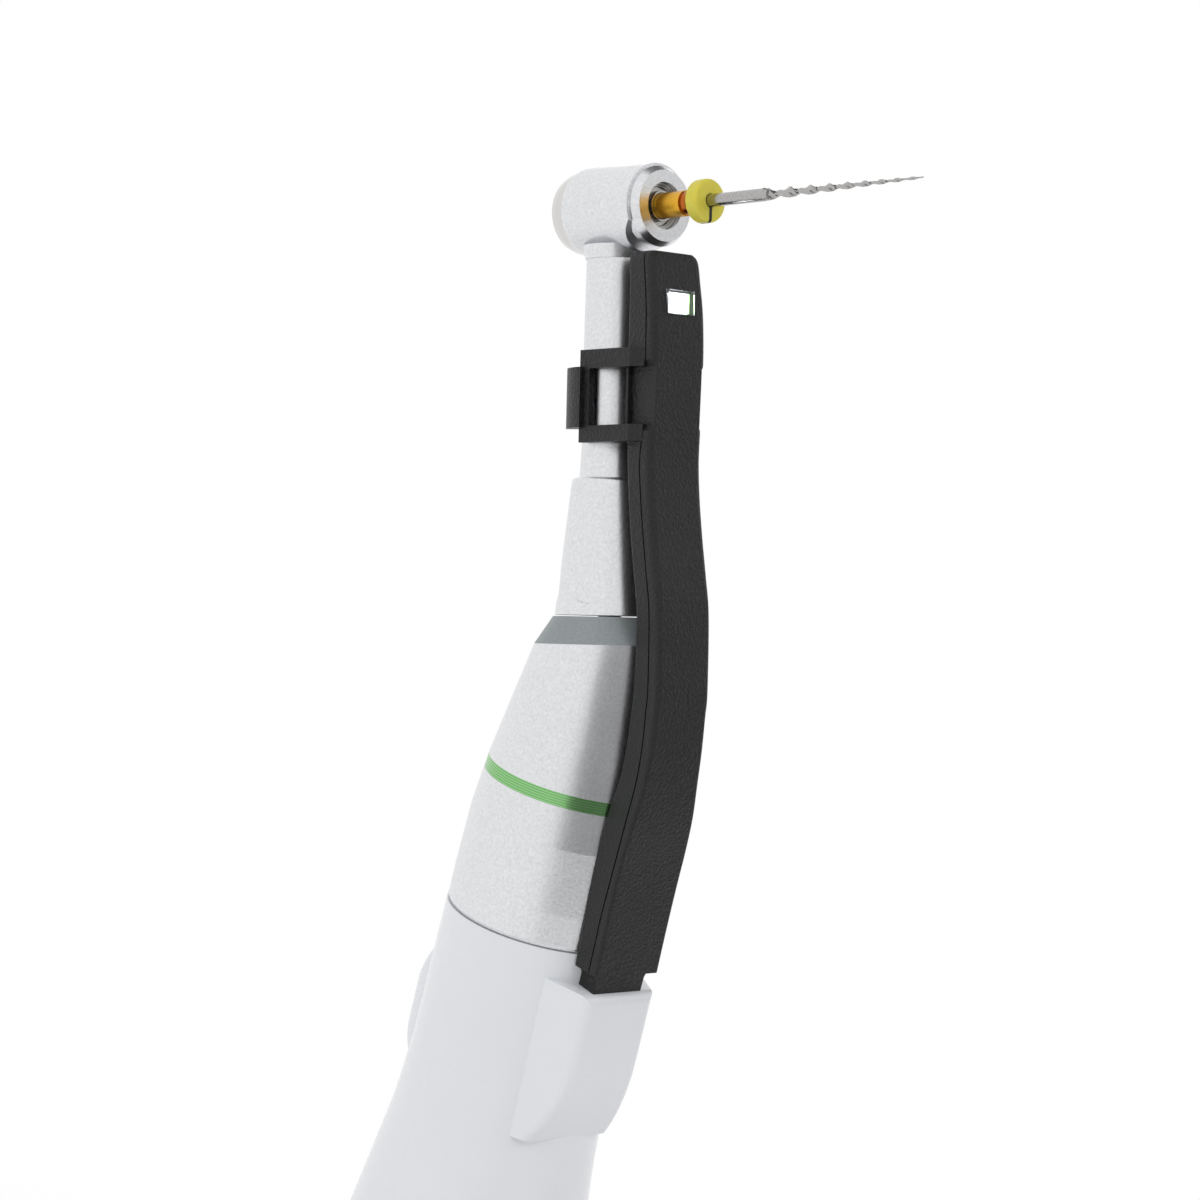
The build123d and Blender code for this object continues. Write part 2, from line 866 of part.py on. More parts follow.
# Handle cone, with the seat of the carrier's bearing
bend_room = bend_outer + 0.35
with BuildPart() as handle_cone:
    add(cone_form(0))
    revolve(
        profile(
            joint,
            (0, 0),
            (ring_gear_outer, 0),
            (ring_gear_outer, web_top + ring_gear_height),
            (orbit_r + 1.6, web_top + ring_gear_height),
            (orbit_r + 1.6, plate_top + 0.3),
            (carrier_seat_r, plate_top + 0.5),
            (carrier_seat_r, carrier_seat_low + bearing_height),
            (carrier_seat_r - 0.6, carrier_seat_low + bearing_height),
            (carrier_seat_r - 0.6, bend_rise - 2.7),
            (bend_room, bend_rise - 2.7),
            (bend_room, bend_rise + 6),
            (0, bend_rise + 6),
        ),
        axis=axis_of(joint),
        mode=Mode.SUBTRACT,
    )
handle_cone.part.label = "handle_cone"
export_step(handle_cone.part, "parts/handle_cone.step")

# Grey collar above the cone
with BuildPart() as grey_collar:
    revolve(
        profile(
            neck,
            (bend_room, seam_l),
            (seam_r, seam_l),
            (collar_top_r, collar_top),
            (spigot_r, collar_top),
            (spigot_r, collar_top - 0.9),
            (bend_room, collar_top - 0.9),
        ),
        axis=axis_of(neck),
    )
grey_collar.part.label = "grey_collar"
export_step(grey_collar.part, "parts/grey_collar.step")

# Sleeve with the shallow finger flats round it
neck_shaft_r = 1.05
low_seat_r = 2.6
low_seat = 4.2
with BuildPart() as neck_sleeve:
    revolve(
        profile(
            neck,
            (low_seat_r, collar_top - 0.9),
            (spigot_r, collar_top - 0.9),
            (spigot_r, sleeve_low),
            (sleeve_low_r, sleeve_low),
            (sleeve_mid_r, 11.5),
            (sleeve_top_r + 0.03, sleeve_top - 0.5),
            (sleeve_top_r - 0.4, sleeve_top),
            (sleeve_bore, sleeve_top),
            (sleeve_bore, neck_low),
            (low_seat_r, neck_low),
        ),
        axis=axis_of(neck),
    )
    for flat in range(flat_count):
        flat_plane = Plane(
            origin=neck.from_local_coords((0, 0, flat_low)),
            x_dir=neck.y_dir,
            z_dir=neck.z_dir,
        )
        turned_plane = flat_plane.rotated((0, 0, 360 / flat_count * flat + 90))
        with BuildSketch(Plane(turned_plane.origin, turned_plane.x_dir, turned_plane.z_dir)):
            with Locations((4.2, 0)):
                Rectangle(2, 5, align=(Align.MIN, Align.CENTER))
        extrude(amount=flat_height, mode=Mode.SUBTRACT)
neck_sleeve.part.label = "neck_sleeve"
export_step(neck_sleeve.part, "parts/neck_sleeve.step")

# Neck tube
with BuildPart() as neck_tube:
    revolve(
        profile(
            neck,
            (neck_bore, neck_low),
            (sleeve_bore, neck_low),
            (neck_base_r, sleeve_top),
            (neck_r, 18.7),
            (neck_r, 27.4),
            (neck_top_r, neck_top),
            (neck_bore, neck_top),
        ),
        axis=axis_of(neck),
    )
neck_tube.part.label = "neck_tube"
export_step(neck_tube.part, "parts/neck_tube.step")

with BuildPart() as neck_bearing_low:
    add(bearing(neck, neck_shaft_r + run_play, low_seat_r, low_seat, neck_low - low_seat))
neck_bearing_low.part.label = "neck_bearing_low"
export_step(neck_bearing_low.part, "parts/neck_bearing_low.step")

high_seat = 32.0
with BuildPart() as neck_bearing_high:
    add(bearing(neck, neck_shaft_r + run_play, neck_bore, high_seat, bearing_height))
neck_bearing_high.part.label = "neck_bearing_high"
export_step(neck_bearing_high.part, "parts/neck_bearing_high.step")

# Head gears: a small pinion on the neck shaft drives the crown gear on the chuck spindle
pinion_cone = degrees(acos(crown_teeth / sqrt(crown_teeth**2 + pinion_teeth**2)))
crown_cone = 90 - pinion_cone
below_head = Plane(origin=head.origin, x_dir=neck.x_dir, z_dir=neck.z_dir)
crown_side = Plane(origin=head.origin, x_dir=-neck.z_dir, z_dir=-head.z_dir)
pinion_r = crown_outer * sin(radians(pinion_cone))
crown_r = crown_outer * sin(radians(crown_cone))
pinion_top = -crown_inner * cos(radians(pinion_cone))
pinion_low = -crown_outer * cos(radians(pinion_cone))
pinion_tooth = cone_tooth(below_head, pinion_cone, crown_outer, crown_inner, 0.07, 0.25, 0.26, 0.36)
crown_tooth = cone_tooth(crown_side, crown_cone, crown_outer, crown_inner, 0.07, 0.3, 0.26, 0.36)
pinion_root = pinion_r - 0.33 * cos(radians(pinion_cone))

# Neck shaft with the upper bend gear and the head pinion
with BuildPart() as neck_shaft:
    revolve(bend_disc(above_bend, 1.7), axis=axis_of(above_bend))
    add(bend_gear_teeth(above_bend, 180 / bend_teeth))
    with BuildSketch(raised(neck, 1.4)):
        Circle(neck_shaft_r)
    extrude(amount=head_rise + pinion_low - 1.4 - 0.6)
    revolve(
        profile(
            below_head,
            (0, pinion_low - 0.7),
            (pinion_root, pinion_low - 0.5),
            (pinion_root, pinion_low),
            (pinion_root * crown_inner / crown_outer, pinion_top),
            (0, pinion_top),
        ),
        axis=axis_of(below_head),
    )
    add([turned_about(pinion_tooth, below_head, n * 360 / pinion_teeth) for n in range(pinion_teeth)])
neck_shaft.part.label = "neck_shaft"
export_step(neck_shaft.part, "parts/neck_shaft.step")

# Chuck spindle with the crown gear
crown_face = crown_outer * cos(radians(crown_cone))
crown_back = crown_face + 0.95
front_seat = crown_back + 0.15
front_seat_top = head_front - 0.5
rear_seat = -3.1
rear_seat_height = 1.4
with BuildPart() as chuck_spindle:
    revolve(band(head, chuck_bore, chuck_r, rear_seat - 0.15, head_ring - 0.1), axis=axis_of(head))
    revolve(
        profile(
            head,
            (chuck_bore + 0.2, crown_face - 0.15),
            (crown_inner * sin(radians(crown_cone)) - 0.25, crown_face * 0.64 + 0.36),
            (crown_r - 0.13, crown_face + 0.32),
            (crown_r - 0.13, crown_back),
            (chuck_bore + 0.2, crown_back),
        ),
        axis=axis_of(head),
    )
    add(
        [
            turned_about(crown_tooth, crown_side, (n + 0.5) * 360 / crown_teeth)
            for n in range(crown_teeth)
        ]
    )
    revolve(band(head, chuck_bore, chuck_bore + 0.17, head_ring - 0.3, head_front - 0.3), axis=axis_of(head))
chuck_spindle.part.label = "chuck_spindle"
export_step(chuck_spindle.part, "parts/chuck_spindle.step")

# Front bearing, whose rings show in the mouth of the head
front_race = chuck_r + run_play
with BuildPart() as chuck_bearing_front:
    revolve(
        profile(
            head,
            (front_race, front_seat),
            (head_bore, front_seat),
            (head_bore, front_seat_top - 0.25),
            (2.02, front_seat_top - 0.25),
            (2.02, front_seat_top),
            (1.9, front_seat_top),
            (1.9, front_seat_top - 0.3),
            (front_race, front_seat_top - 0.3),
        ),
        axis=axis_of(head),
    )
chuck_bearing_front.part.label = "chuck_bearing_front"
export_step(chuck_bearing_front.part, "parts/chuck_bearing_front.step")

with BuildPart() as chuck_bearing_rear:
    add(bearing(head, chuck_r + run_play, head_bore, rear_seat, rear_seat_height))
chuck_bearing_rear.part.label = "chuck_bearing_rear"
export_step(chuck_bearing_rear.part, "parts/chuck_bearing_rear.step")

# Head housing: a barrel across the neck, trimmed by a cone round the neck, with a full ring at its mouth
trim_low = -4.6
trim_high = -0.6
with BuildPart() as head_housing:
    revolve(
        profile(
            head,
            (0, head_back),
            (head_r - 0.08, head_back),
            (head_r, head_back + 0.3),
            (head_r, -1.7),
            (3.87, 1.8),
            (head_front_r, head_ring),
            (0, head_ring),
        ),
        axis=axis_of(head),
    )
    revolve(
        profile(
            below_head,
            (neck_top_r - 0.05, trim_low),
            (neck_top_r + 0.2, trim_low + 0.35),
            (neck_top_r + 4.2, trim_high),
            (12, trim_high),
            (12, trim_low),
        ),
        axis=axis_of(below_head),
        mode=Mode.SUBTRACT,
    )
    revolve(
        profile(
            below_head,
            (0, neck_top - head_rise),
            (neck_top_r, neck_top - head_rise),
            (neck_top_r + 0.1, trim_low + 0.2),
            (neck_top_r + 0.4, -3.2),
            (0, -3.2),
        ),
        axis=axis_of(below_head),
    )
    revolve(
        profile(
            head,
            (0, head_ring - 0.6),
            (face_edge_r - 0.1, head_ring - 0.6),
            (face_edge_r, 5.15),
            (face_r, head_front),
            (0, head_front),
        ),
        axis=axis_of(head),
    )
    revolve(
        profile(
            head,
            (0, head_back - 1),
            (head_bore, head_back - 1),
            (head_bore, front_seat_top - 0.25),
            (mouth_r, front_seat_top - 0.25),
            (mouth_r, head_front + 1),
            (0, head_front + 1),
        ),
        axis=axis_of(head),
        mode=Mode.SUBTRACT,
    )
    revolve(
        profile(below_head, (0, -8), (neck_bore - 0.3, -8), (neck_bore - 0.3, -1), (0, -1)),
        axis=axis_of(below_head),
        mode=Mode.SUBTRACT,
    )
head_housing.part.label = "head_housing"
export_step(head_housing.part, "parts/head_housing.step")

# Polished ring that closes the back of the head and guides the push cap
with BuildPart() as cap_ring:
    revolve(
        profile(
            head,
            (cap_r + run_play, head_back),
            (head_r - 0.12, head_back),
            (head_r - 0.3, -4.3),
            (3.45, cap_ring_back),
            (cap_r + run_play, cap_ring_back),
        ),
        axis=axis_of(head),
    )
cap_ring.part.label = "cap_ring"
export_step(cap_ring.part, "parts/cap_ring.step")

# Push cap that opens the chuck, and the spring under it
with BuildPart() as push_cap:
    revolve(
        profile(
            head,
            (0, cap_back),
            (cap_r - 0.5, cap_back),
            (cap_r, cap_back + 0.4),
            (cap_r, cap_back + 1.6),
            (0, cap_back + 1.6),
        ),
        axis=axis_of(head),
    )
push_cap.part.label = "push_cap"
export_step(push_cap.part, "parts/push_cap.step")

with BuildPart() as cap_spring:
    revolve(band(head, 2.15, 2.45, cap_back + 1.6, rear_seat), axis=axis_of(head))
cap_spring.part.label = "cap_spring"
export_step(cap_spring.part, "parts/cap_spring.step")

# File: shank in the chuck, copper-coloured band, wire with twisted flutes, and its silicone stop
shank_end = head_front + shank_out
band_end = shank_end + band_length
with BuildPart() as file_shank:
    revolve(
        profile(
            head,
            (0, rear_seat),
            (shank_r - 0.3, rear_seat),
            (shank_r - 0.3, rear_seat + 0.8),
            (shank_r, rear_seat + 0.8),
            (shank_r, shank_end),
            (0, shank_end),
        ),
        axis=axis_of(head),
    )
file_shank.part.label = "file_shank"
export_step(file_shank.part, "parts/file_shank.step")

with BuildPart() as file_band:
    revolve(
        profile(
            head,
            (0, shank_end),
            (band_r - 0.25, shank_end),
            (band_r, shank_end + 0.25),
            (band_r, band_end - 0.15),
            (band_r - 0.15, band_end),
            (0, band_end),
        ),
        axis=axis_of(head),
    )
file_band.part.label = "file_band"
export_step(file_band.part, "parts/file_band.step")

with BuildPart() as file_blade:
    revolve(
        profile(
            head,
            (0, band_end),
            (wire_r, band_end),
            (wire_r, flutes_start - 0.3),
            (wire_r * 0.7, flutes_start + 0.2),
            (0, flutes_start + 0.2),
        ),
        axis=axis_of(head),
    )
    flute_cuts = []
    for step in range(flute_steps + 1):
        share = step / flute_steps
        reach = flutes_start + share * (file_tip - flutes_start)
        radius = wire_r * 0.95 + share * (tip_r - wire_r * 0.95)
        twist = 360 * flute_turns / 2 * share * (1 + 0.35 * share)
        with BuildSketch(raised(head, reach)) as cut:
            Polygon(
                (radius, 0),
                (0, radius * 0.55),
                (-radius, 0),
                (0, -radius * 0.55),
                rotation=twist,
                align=None,
            )
        flute_cuts.append(cut.sketch)
    loft(flute_cuts, ruled=True)
file_blade.part.label = "file_blade"
export_step(file_blade.part, "parts/file_blade.step")

with BuildPart() as file_stop:
    revolve(
        band(head, wire_r + run_play, stop_r, stop_start, stop_start + stop_length), axis=axis_of(head)
    )
    fillet(file_stop.edges().filter_by(GeomType.CIRCLE).sort_by(SortBy.RADIUS)[-2:], 0.3)
file_stop.part.label = "file_stop"
export_step(file_stop.part, "parts/file_stop.step")

# Light bar: lofted through rounded sections that follow the barrel, the cone and then the neck.
# Each section: plane, back and front distance from the axis, half width
bar_sections = [
    (raised(joint, -0.5), 8.45, 11.4, 4.6),
    (raised(joint, 3.1), 8.45, 11.15, 4.65),
    (raised(joint, 6.2), 8.4, 11.0, 4.65),
    (raised(joint, 9.3), 8.2, 11.0, 4.55),
    (raised(joint, 12.4), 7.9, 11.15, 4.35),
    (raised(joint, 15.5), 8.1, 11.2, 4.0),
    (raised(joint, 18.5), 7.7, 10.7, 3.8),
    (raised(joint, 21.6), 7.0, 10.15, 3.7),
    (raised(joint, 24.7), 6.55, 9.55, 3.65),
    (raised(neck, 4.0), 6.25, 9.2, 3.6),
    (raised(neck, 7.4), 5.55, 8.8, 3.55),
    (raised(neck, 10.8), 5.05, 8.25, 3.5),
    (raised(neck, 14.2), 4.8, 7.85, 3.4),
    (raised(neck, 17.4), 4.6, 7.75, 3.35),
    (raised(neck, 20.6), 4.4, 8.05, 3.3),
    (raised(neck, 23.8), 4.3, 8.2, 3.25),
    (raised(neck, 27.0), 4.2, 8.4, 3.2),
    (raised(neck, 30.3), 4.15, 8.25, 3.1),
    (raised(neck, 33.6), 3.85, 7.85, 2.95),
    (raised(neck, 35.2), 3.75, 7.45, 2.85),
]
with BuildPart() as bar_form:
    for plane, back, front, half in bar_sections:
        with BuildSketch(plane):
            with Locations(((back + front) / 2, 0)):
                Rectangle(front - back, 2 * half)
            fillet(vertices().group_by(Axis.X)[-1], bar_round)
            fillet(vertices().group_by(Axis.X)[0], bar_back_round)
    loft()

# What the bar keeps clear of: the barrel, the cone and the collar with the skin gap round them
with BuildPart() as bar_keep_out:
    add(cone_form(skin_gap))
    revolve(
        profile(
            joint,
            (0, -2),
            (barrel_r + skin_gap, -2),
            (barrel_r + skin_gap, 3.1),
            (8.91 + skin_gap, 8.9),
            (green_top_r + skin_gap, green_top),
            (0, green_top),
        ),
        axis=axis_of(joint),
    )
    revolve(
        profile(
            neck,
            (0, seam_l),
            (seam_r + skin_gap, seam_l),
            (collar_top_r + skin_gap, collar_top),
            (sleeve_low_r + skin_gap, sleeve_low),
            (sleeve_top_r + skin_gap, sleeve_top),
            (0, sleeve_top),
        ),
        axis=axis_of(neck),
    )


def point_on(plane, reach):
    """World X and Z of a point in front of an axis."""
    place = plane.from_local_coords((reach, 0, 0))
    return (place.X, place.Z)


bar_middle = [point_on(plane, back + 0.5 * (front - back)) for plane, back, front, half in bar_sections]
# The two shells part along the sides: near the front at the foot, then in the middle
parting_shares = (0.78, 0.78, 0.76, 0.68, 0.62, 0.58, 0.55, 0.53) + 8 * (0.52,) + 4 * (0.5,)
parting = [
    point_on(plane, back + share * (front - back))
    for (plane, back, front, half), share in zip(bar_sections, parting_shares)
]
with BuildPart() as behind_parting:
    with BuildSketch(Plane.XZ):
        with BuildLine():
            Polyline(
                (parting[0][0], parting[0][1] - 12),
                *parting,
                (parting[-1][0] - 1, parting[-1][1] + 4),
                (-20, parting[-1][1] + 4),
                (-20, parting[0][1] - 12),
                close=True,
            )
        make_face()
    extrude(amount=8, both=True)

with BuildPart() as wire_channel:
    with BuildSketch(Plane.XZ) as channel:
        with BuildLine():
            Spline(*bar_middle[:-1])
        trace(line_width=wire_slot)
    extrude(amount=1.7, both=True)

light_plane = raised(neck, light_l)
with BuildPart() as light_hole:
    with BuildSketch(light_plane.offset(-light_height / 2)):
        with Locations((6.0, 0)):
            Rectangle(6, 2 * light_half, align=(Align.MIN, Align.CENTER))
    extrude(amount=light_height)

# Front shell of the light bar, with the plug at its foot
with BuildPart() as led_bar_front:
    add(bar_form)
    with BuildSketch(raised(joint, 0)):
        with Locations((plug_mid, 0)):
            Rectangle(plug_front - plug_back, 2 * plug_half)
    extrude(amount=-2 - plug_length)
    add(bar_keep_out, mode=Mode.SUBTRACT)
    add(wire_channel, mode=Mode.SUBTRACT)
    add(light_hole, mode=Mode.SUBTRACT)
    add(behind_parting, mode=Mode.SUBTRACT)
led_bar_front.part.label = "led_bar_front"
export_step(led_bar_front.part, "parts/led_bar_front.step")

# Back shell of the light bar, with the clip that snaps round the neck
clip_bore = neck_r + 0.07
with BuildPart() as led_bar_back:
    add(bar_form)
    with BuildSketch(raised(neck, clip_low)):
        with Locations((clip_back, 0)):
            Rectangle(6.2, 2 * clip_arm_outer, align=(Align.MIN, Align.CENTER))
            Rectangle(3.2, 2 * clip_arm_inner, align=(Align.MIN, Align.CENTER), mode=Mode.SUBTRACT)
    extrude(amount=clip_top - clip_low)
    with BuildSketch(raised(neck, clip_window_low)):
        with Locations((clip_back + 1.1, 0)):
            Rectangle(4.6, 12, align=(Align.MIN, Align.CENTER))
    extrude(amount=clip_window_top - clip_window_low, mode=Mode.SUBTRACT)
    with BuildSketch(raised(neck, clip_window_low)):
        with Locations((1.9, 0)):
            Rectangle(4, 2 * clip_arm_inner + 0.4, align=(Align.MIN, Align.CENTER))
    extrude(amount=clip_window_top - clip_window_low)
    with BuildSketch(raised(neck, clip_window_low)):
        Circle(clip_arm_outer)
        Circle(clip_bore, mode=Mode.SUBTRACT)
        Rectangle(20, 20, align=(Align.MIN, Align.CENTER), mode=Mode.SUBTRACT)
        with Locations((-3.4, 0)):
            Rectangle(3, 3.8, mode=Mode.SUBTRACT)
    extrude(amount=clip_window_top - clip_window_low)
    add(bar_keep_out, mode=Mode.SUBTRACT)
    with BuildSketch(raised(neck, clip_low - 2)):
        Circle(clip_bore)
    extrude(amount=12, mode=Mode.SUBTRACT)
    add(wire_channel, mode=Mode.SUBTRACT)
    add(light_hole, mode=Mode.SUBTRACT)
    add(behind_parting, mode=Mode.INTERSECT)
led_bar_back.part.label = "led_bar_back"
export_step(led_bar_back.part, "parts/led_bar_back.step")

# Flexible circuit along the bar, the light itself and its clear lens
with BuildPart() as led_board:
    with BuildSketch(Plane.XZ):
        with BuildLine():
            Spline(*bar_middle[1:-2])
        trace(line_width=0.5)
    extrude(amount=1.4, both=True)
led_board.part.label = "led_board"
export_step(led_board.part, "parts/led_board.step")

with BuildPart() as led_lens:
    with BuildSketch(light_plane.offset(-light_height / 2)):
        with Locations((7.3, 0)):
            Rectangle(0.85, 2 * light_half, align=(Align.MIN, Align.CENTER))
    extrude(amount=light_height)
led_lens.part.label = "led_lens"
export_step(led_lens.part, "parts/led_lens.step")

with BuildPart() as led_module:
    with BuildSketch(light_plane.offset(-light_height / 2 + 0.2)):
        with Locations((6.8, 0)):
            Rectangle(0.5, 2 * light_half - 0.5, align=(Align.MIN, Align.CENTER))
    extrude(amount=light_height - 0.4)
led_module.part.label = "led_module"
export_step(led_module.part, "parts/led_module.step")

# Contact pads on the foot of the plug
with BuildPart() as led_plug_pads:
    with BuildSketch(Plane.XY.offset(joint_z - 2 - plug_length)):
        with Locations((plug_mid, -pin_pitch), (plug_mid, 0), (plug_mid, pin_pitch)):
            Rectangle(0.8, 0.8)
    extrude(amount=-0.05)
led_plug_pads.part.label = "led_plug_pads"
export_step(led_plug_pads.part, "parts/led_plug_pads.step")
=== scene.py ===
from math import cos, pi, radians, sin, tau

import bmesh
import bpy
from mathutils import Matrix, Vector


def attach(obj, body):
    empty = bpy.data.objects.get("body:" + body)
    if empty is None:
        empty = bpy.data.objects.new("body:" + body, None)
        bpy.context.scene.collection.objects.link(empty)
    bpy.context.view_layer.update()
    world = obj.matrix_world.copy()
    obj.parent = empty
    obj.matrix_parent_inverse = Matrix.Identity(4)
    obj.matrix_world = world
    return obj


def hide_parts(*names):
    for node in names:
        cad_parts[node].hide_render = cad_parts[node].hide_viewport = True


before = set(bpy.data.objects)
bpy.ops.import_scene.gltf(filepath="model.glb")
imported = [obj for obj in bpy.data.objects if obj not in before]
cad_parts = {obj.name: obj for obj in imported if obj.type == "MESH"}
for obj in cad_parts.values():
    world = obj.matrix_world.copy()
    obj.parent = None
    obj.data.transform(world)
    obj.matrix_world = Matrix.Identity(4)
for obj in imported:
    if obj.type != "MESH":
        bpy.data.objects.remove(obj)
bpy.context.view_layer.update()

MM = 0.001

# Camera: a long lens close to the head, a little above it and rolled, as the photograph was taken.
# Only the upper part of the instrument is in its view.
azimuth = radians(45.23)
elevation = radians(12.11)
roll = radians(13.54)
eye_distance = 290.53 * MM
aim = Vector((-2.81, 0, 160.92)) * MM
lens_back = Vector((sin(azimuth) * cos(elevation), -cos(azimuth) * cos(elevation), sin(elevation)))
level_right = Vector((cos(azimuth), sin(azimuth), 0))
level_up = lens_back.cross(level_right)
lens_right = level_right * cos(roll) + level_up * sin(roll)
lens_up = level_up * cos(roll) - level_right * sin(roll)
lens = bpy.data.cameras.new("camera")
lens.lens = 98.34
lens.sensor_width = 36
lens.clip_start = 0.01
camera = bpy.data.objects.new("camera", lens)
turn = Matrix((lens_right, lens_up, lens_back)).transposed().to_4x4()
camera.matrix_world = Matrix.Translation(aim + lens_back * eye_distance) @ turn
bpy.context.scene.collection.objects.link(camera)
bpy.context.scene.camera = camera
bpy.context.scene.view_settings.view_transform = "Standard"


# Studio: a pale seamless floor, a white room and three soft lamps.
# The room shows white to the camera and in reflections, and lights the object less than that.
def linear(colour):
    """The linear colour of an sRGB hex value."""
    channels = [int(colour[i : i + 2], 16) / 255 for i in (1, 3, 5)]
    return [c / 12.92 if c <= 0.04045 else ((c + 0.055) / 1.055) ** 2.4 for c in channels] + [1.0]


def add_node(tree, kind, inputs=None, **settings):
    """Add a node with its settings, and fill or link its inputs."""
    node = tree.nodes.new(kind)
    for name, value in settings.items():
        setattr(node, name, value)
    for socket, value in (inputs or {}).items():
        if isinstance(value, bpy.types.NodeSocket):
            tree.links.new(value, node.inputs[socket])
        else:
            node.inputs[socket].default_value = value
    return node


def finish(name, **shader_values):
    """A material with a Principled shader whose sockets hold the given values."""
    material = bpy.data.materials.new(name)
    material.use_nodes = True
    shader = material.node_tree.nodes["Principled BSDF"]
    for socket, value in shader_values.items():
        shader.inputs[socket.replace("_", " ")].default_value = value
    return material, material.node_tree, shader


def mesh_piece(name, build, material):
    """A new object at the origin whose mesh the build function fills."""
    work = bmesh.new()
    build(work)
    mesh = bpy.data.meshes.new(name)
    work.to_mesh(mesh)
    work.free()
    mesh.materials.append(material)
    piece = bpy.data.objects.new(name, mesh)
    bpy.context.scene.collection.objects.link(piece)
    return piece


floor_reach = 0.7
shadow_reach = 0.12
paper, tree, shader = finish("matte_paper", Roughness=0.9)
place = add_node(tree, "ShaderNodeTexCoord").outputs["Object"]
fibres = add_node(tree, "ShaderNodeTexNoise", {"Vector": place, "Scale": 1 / (2.5 * MM), "Detail": 3.0})
paper_tone = add_node(
    tree,
    "ShaderNodeMix",
    {0: fibres.outputs["Fac"], 6: linear("#F6F6F7"), 7: linear("#FAFAFA")},
    data_type="RGBA",
)
tree.links.new(paper_tone.outputs[2], shader.inputs["Base Color"])
reach = add_node(tree, "ShaderNodeVectorMath", {0: place}, operation="LENGTH")
away = add_node(
    tree,
    "ShaderNodeMapRange",
    {"Value": reach.outputs["Value"], "From Min": shadow_reach / 3, "From Max": shadow_reach * 2},
    interpolation_type="SMOOTHSTEP",
)
rays = add_node(tree, "ShaderNodeLightPath")
seen = add_node(
    tree,
    "ShaderNodeMath",
    {0: rays.outputs["Is Camera Ray"], 1: rays.outputs["Is Glossy Ray"]},
    operation="MAXIMUM",
)
seen = add_node(
    tree, "ShaderNodeMath", {0: seen.outputs[0], 1: rays.outputs["Is Transmission Ray"]}, operation="MAXIMUM"
)
glow = add_node(tree, "ShaderNodeMath", {0: seen.outputs[0], 1: away.outputs[0]}, operation="MULTIPLY")
white = add_node(tree, "ShaderNodeEmission", {"Strength": 1.0})
sheet = add_node(
    tree, "ShaderNodeMixShader", {0: glow.outputs[0], 1: shader.outputs[0], 2: white.outputs[0]}
)
tree.links.new(sheet.outputs[0], tree.nodes["Material Output"].inputs["Surface"])


def floor_sheet(work):
    """A round sheet under the foot that fades into the white room."""
    bmesh.ops.create_circle(work, cap_ends=True, segments=96, radius=floor_reach)


floor = mesh_piece("floor", floor_sheet, paper)

room_light = 0.4
world = bpy.data.worlds.new("studio_room")
bpy.context.scene.world = world
world.use_nodes = True
room = world.node_tree
rays = add_node(room, "ShaderNodeLightPath")
shown = add_node(
    room,
    "ShaderNodeMath",
    {0: rays.outputs["Is Camera Ray"], 1: rays.outputs["Is Glossy Ray"]},
    operation="MAXIMUM",
)
shown = add_node(
    room,
    "ShaderNodeMath",
    {0: shown.outputs[0], 1: rays.outputs["Is Transmission Ray"]},
    operation="MAXIMUM",
)
strength = add_node(
    room,
    "ShaderNodeMapRange",
    {"Value": shown.outputs[0], "To Min": room_light, "To Max": 1.0},
)
room.links.new(strength.outputs[0], room.nodes["Background"].inputs["Strength"])
room.nodes["Background"].inputs["Color"].default_value = (1, 1, 1, 1)


def facing_aim(around, above, distance):
    """A placement round the aim, by azimuth, elevation and distance, turned to face it."""
    turned, raised = radians(around), radians(above)
    outward = Vector((sin(turned) * cos(raised), -cos(turned) * cos(raised), sin(raised)))
    facing = outward.to_track_quat("Z", "Y").to_matrix().to_4x4()
    return Matrix.Translation(aim + outward * distance) @ facing


# name, azimuth and elevation from the aim, distance in metres, side in metres, watts
lamps = (
    ("key_lamp", -15, 30, 0.9, 1.0, 5.2),
    ("side_lamp", 100, 35, 0.9, 0.7, 3.4),
    ("rim_lamp", 215, 25, 0.9, 0.6, 1.0),
)
for name, around, above, distance, side, watts in lamps:
    light = bpy.data.lights.new(name, "AREA")
    light.shape = "SQUARE"
    light.size = side
    light.energy = watts
    lamp = bpy.data.objects.new(name, light)
    lamp.matrix_world = facing_aim(around, above, distance)
    # The two front lamps would burn the satin metal out if it mirrored them
    lamp.visible_glossy = name == "rim_lamp"
    bpy.context.scene.collection.objects.link(lamp)

# Flags: sheets of grey card beside and above the object, hidden from the camera.
# Only reflections and clear parts show them. They give the satin metal its darker right side
# and the darker band along its top.
grey_card, tree, shader = finish("grey_card", Roughness=0.9)
place = add_node(tree, "ShaderNodeTexCoord").outputs["Object"]
pulp = add_node(tree, "ShaderNodeTexNoise", {"Vector": place, "Scale": 1 / (4 * MM), "Detail": 3.0})
tone = add_node(
    tree,
    "ShaderNodeMix",
    {0: pulp.outputs["Fac"], 6: linear("#6C6C6D"), 7: linear("#727273")},
    data_type="RGBA",
)
tree.links.new(tone.outputs[2], shader.inputs["Base Color"])

# name, azimuth and elevation from the aim, distance and side in metres
flags = (
    ("front_flag", 64, -14, 0.6, 0.6),
    ("side_flag", 135, 0, 0.4, 0.3),
    ("top_flag", 205, 52, 0.4, 0.4),
)
for name, around, above, distance, side in flags:
    facing = facing_aim(around, above, distance)

    def card(work):
        """A square card that faces the object."""
        bmesh.ops.create_grid(work, x_segments=1, y_segments=1, size=side / 2, matrix=facing)

    flag = mesh_piece(name, card, grey_card)
    flag.visible_camera = False
    flag.visible_diffuse = False
    flag.visible_shadow = False


def dress(material, *nodes):
    """Give CAD nodes a material."""
    for node in nodes:
        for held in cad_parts[node].material_slots:
            held.material = material


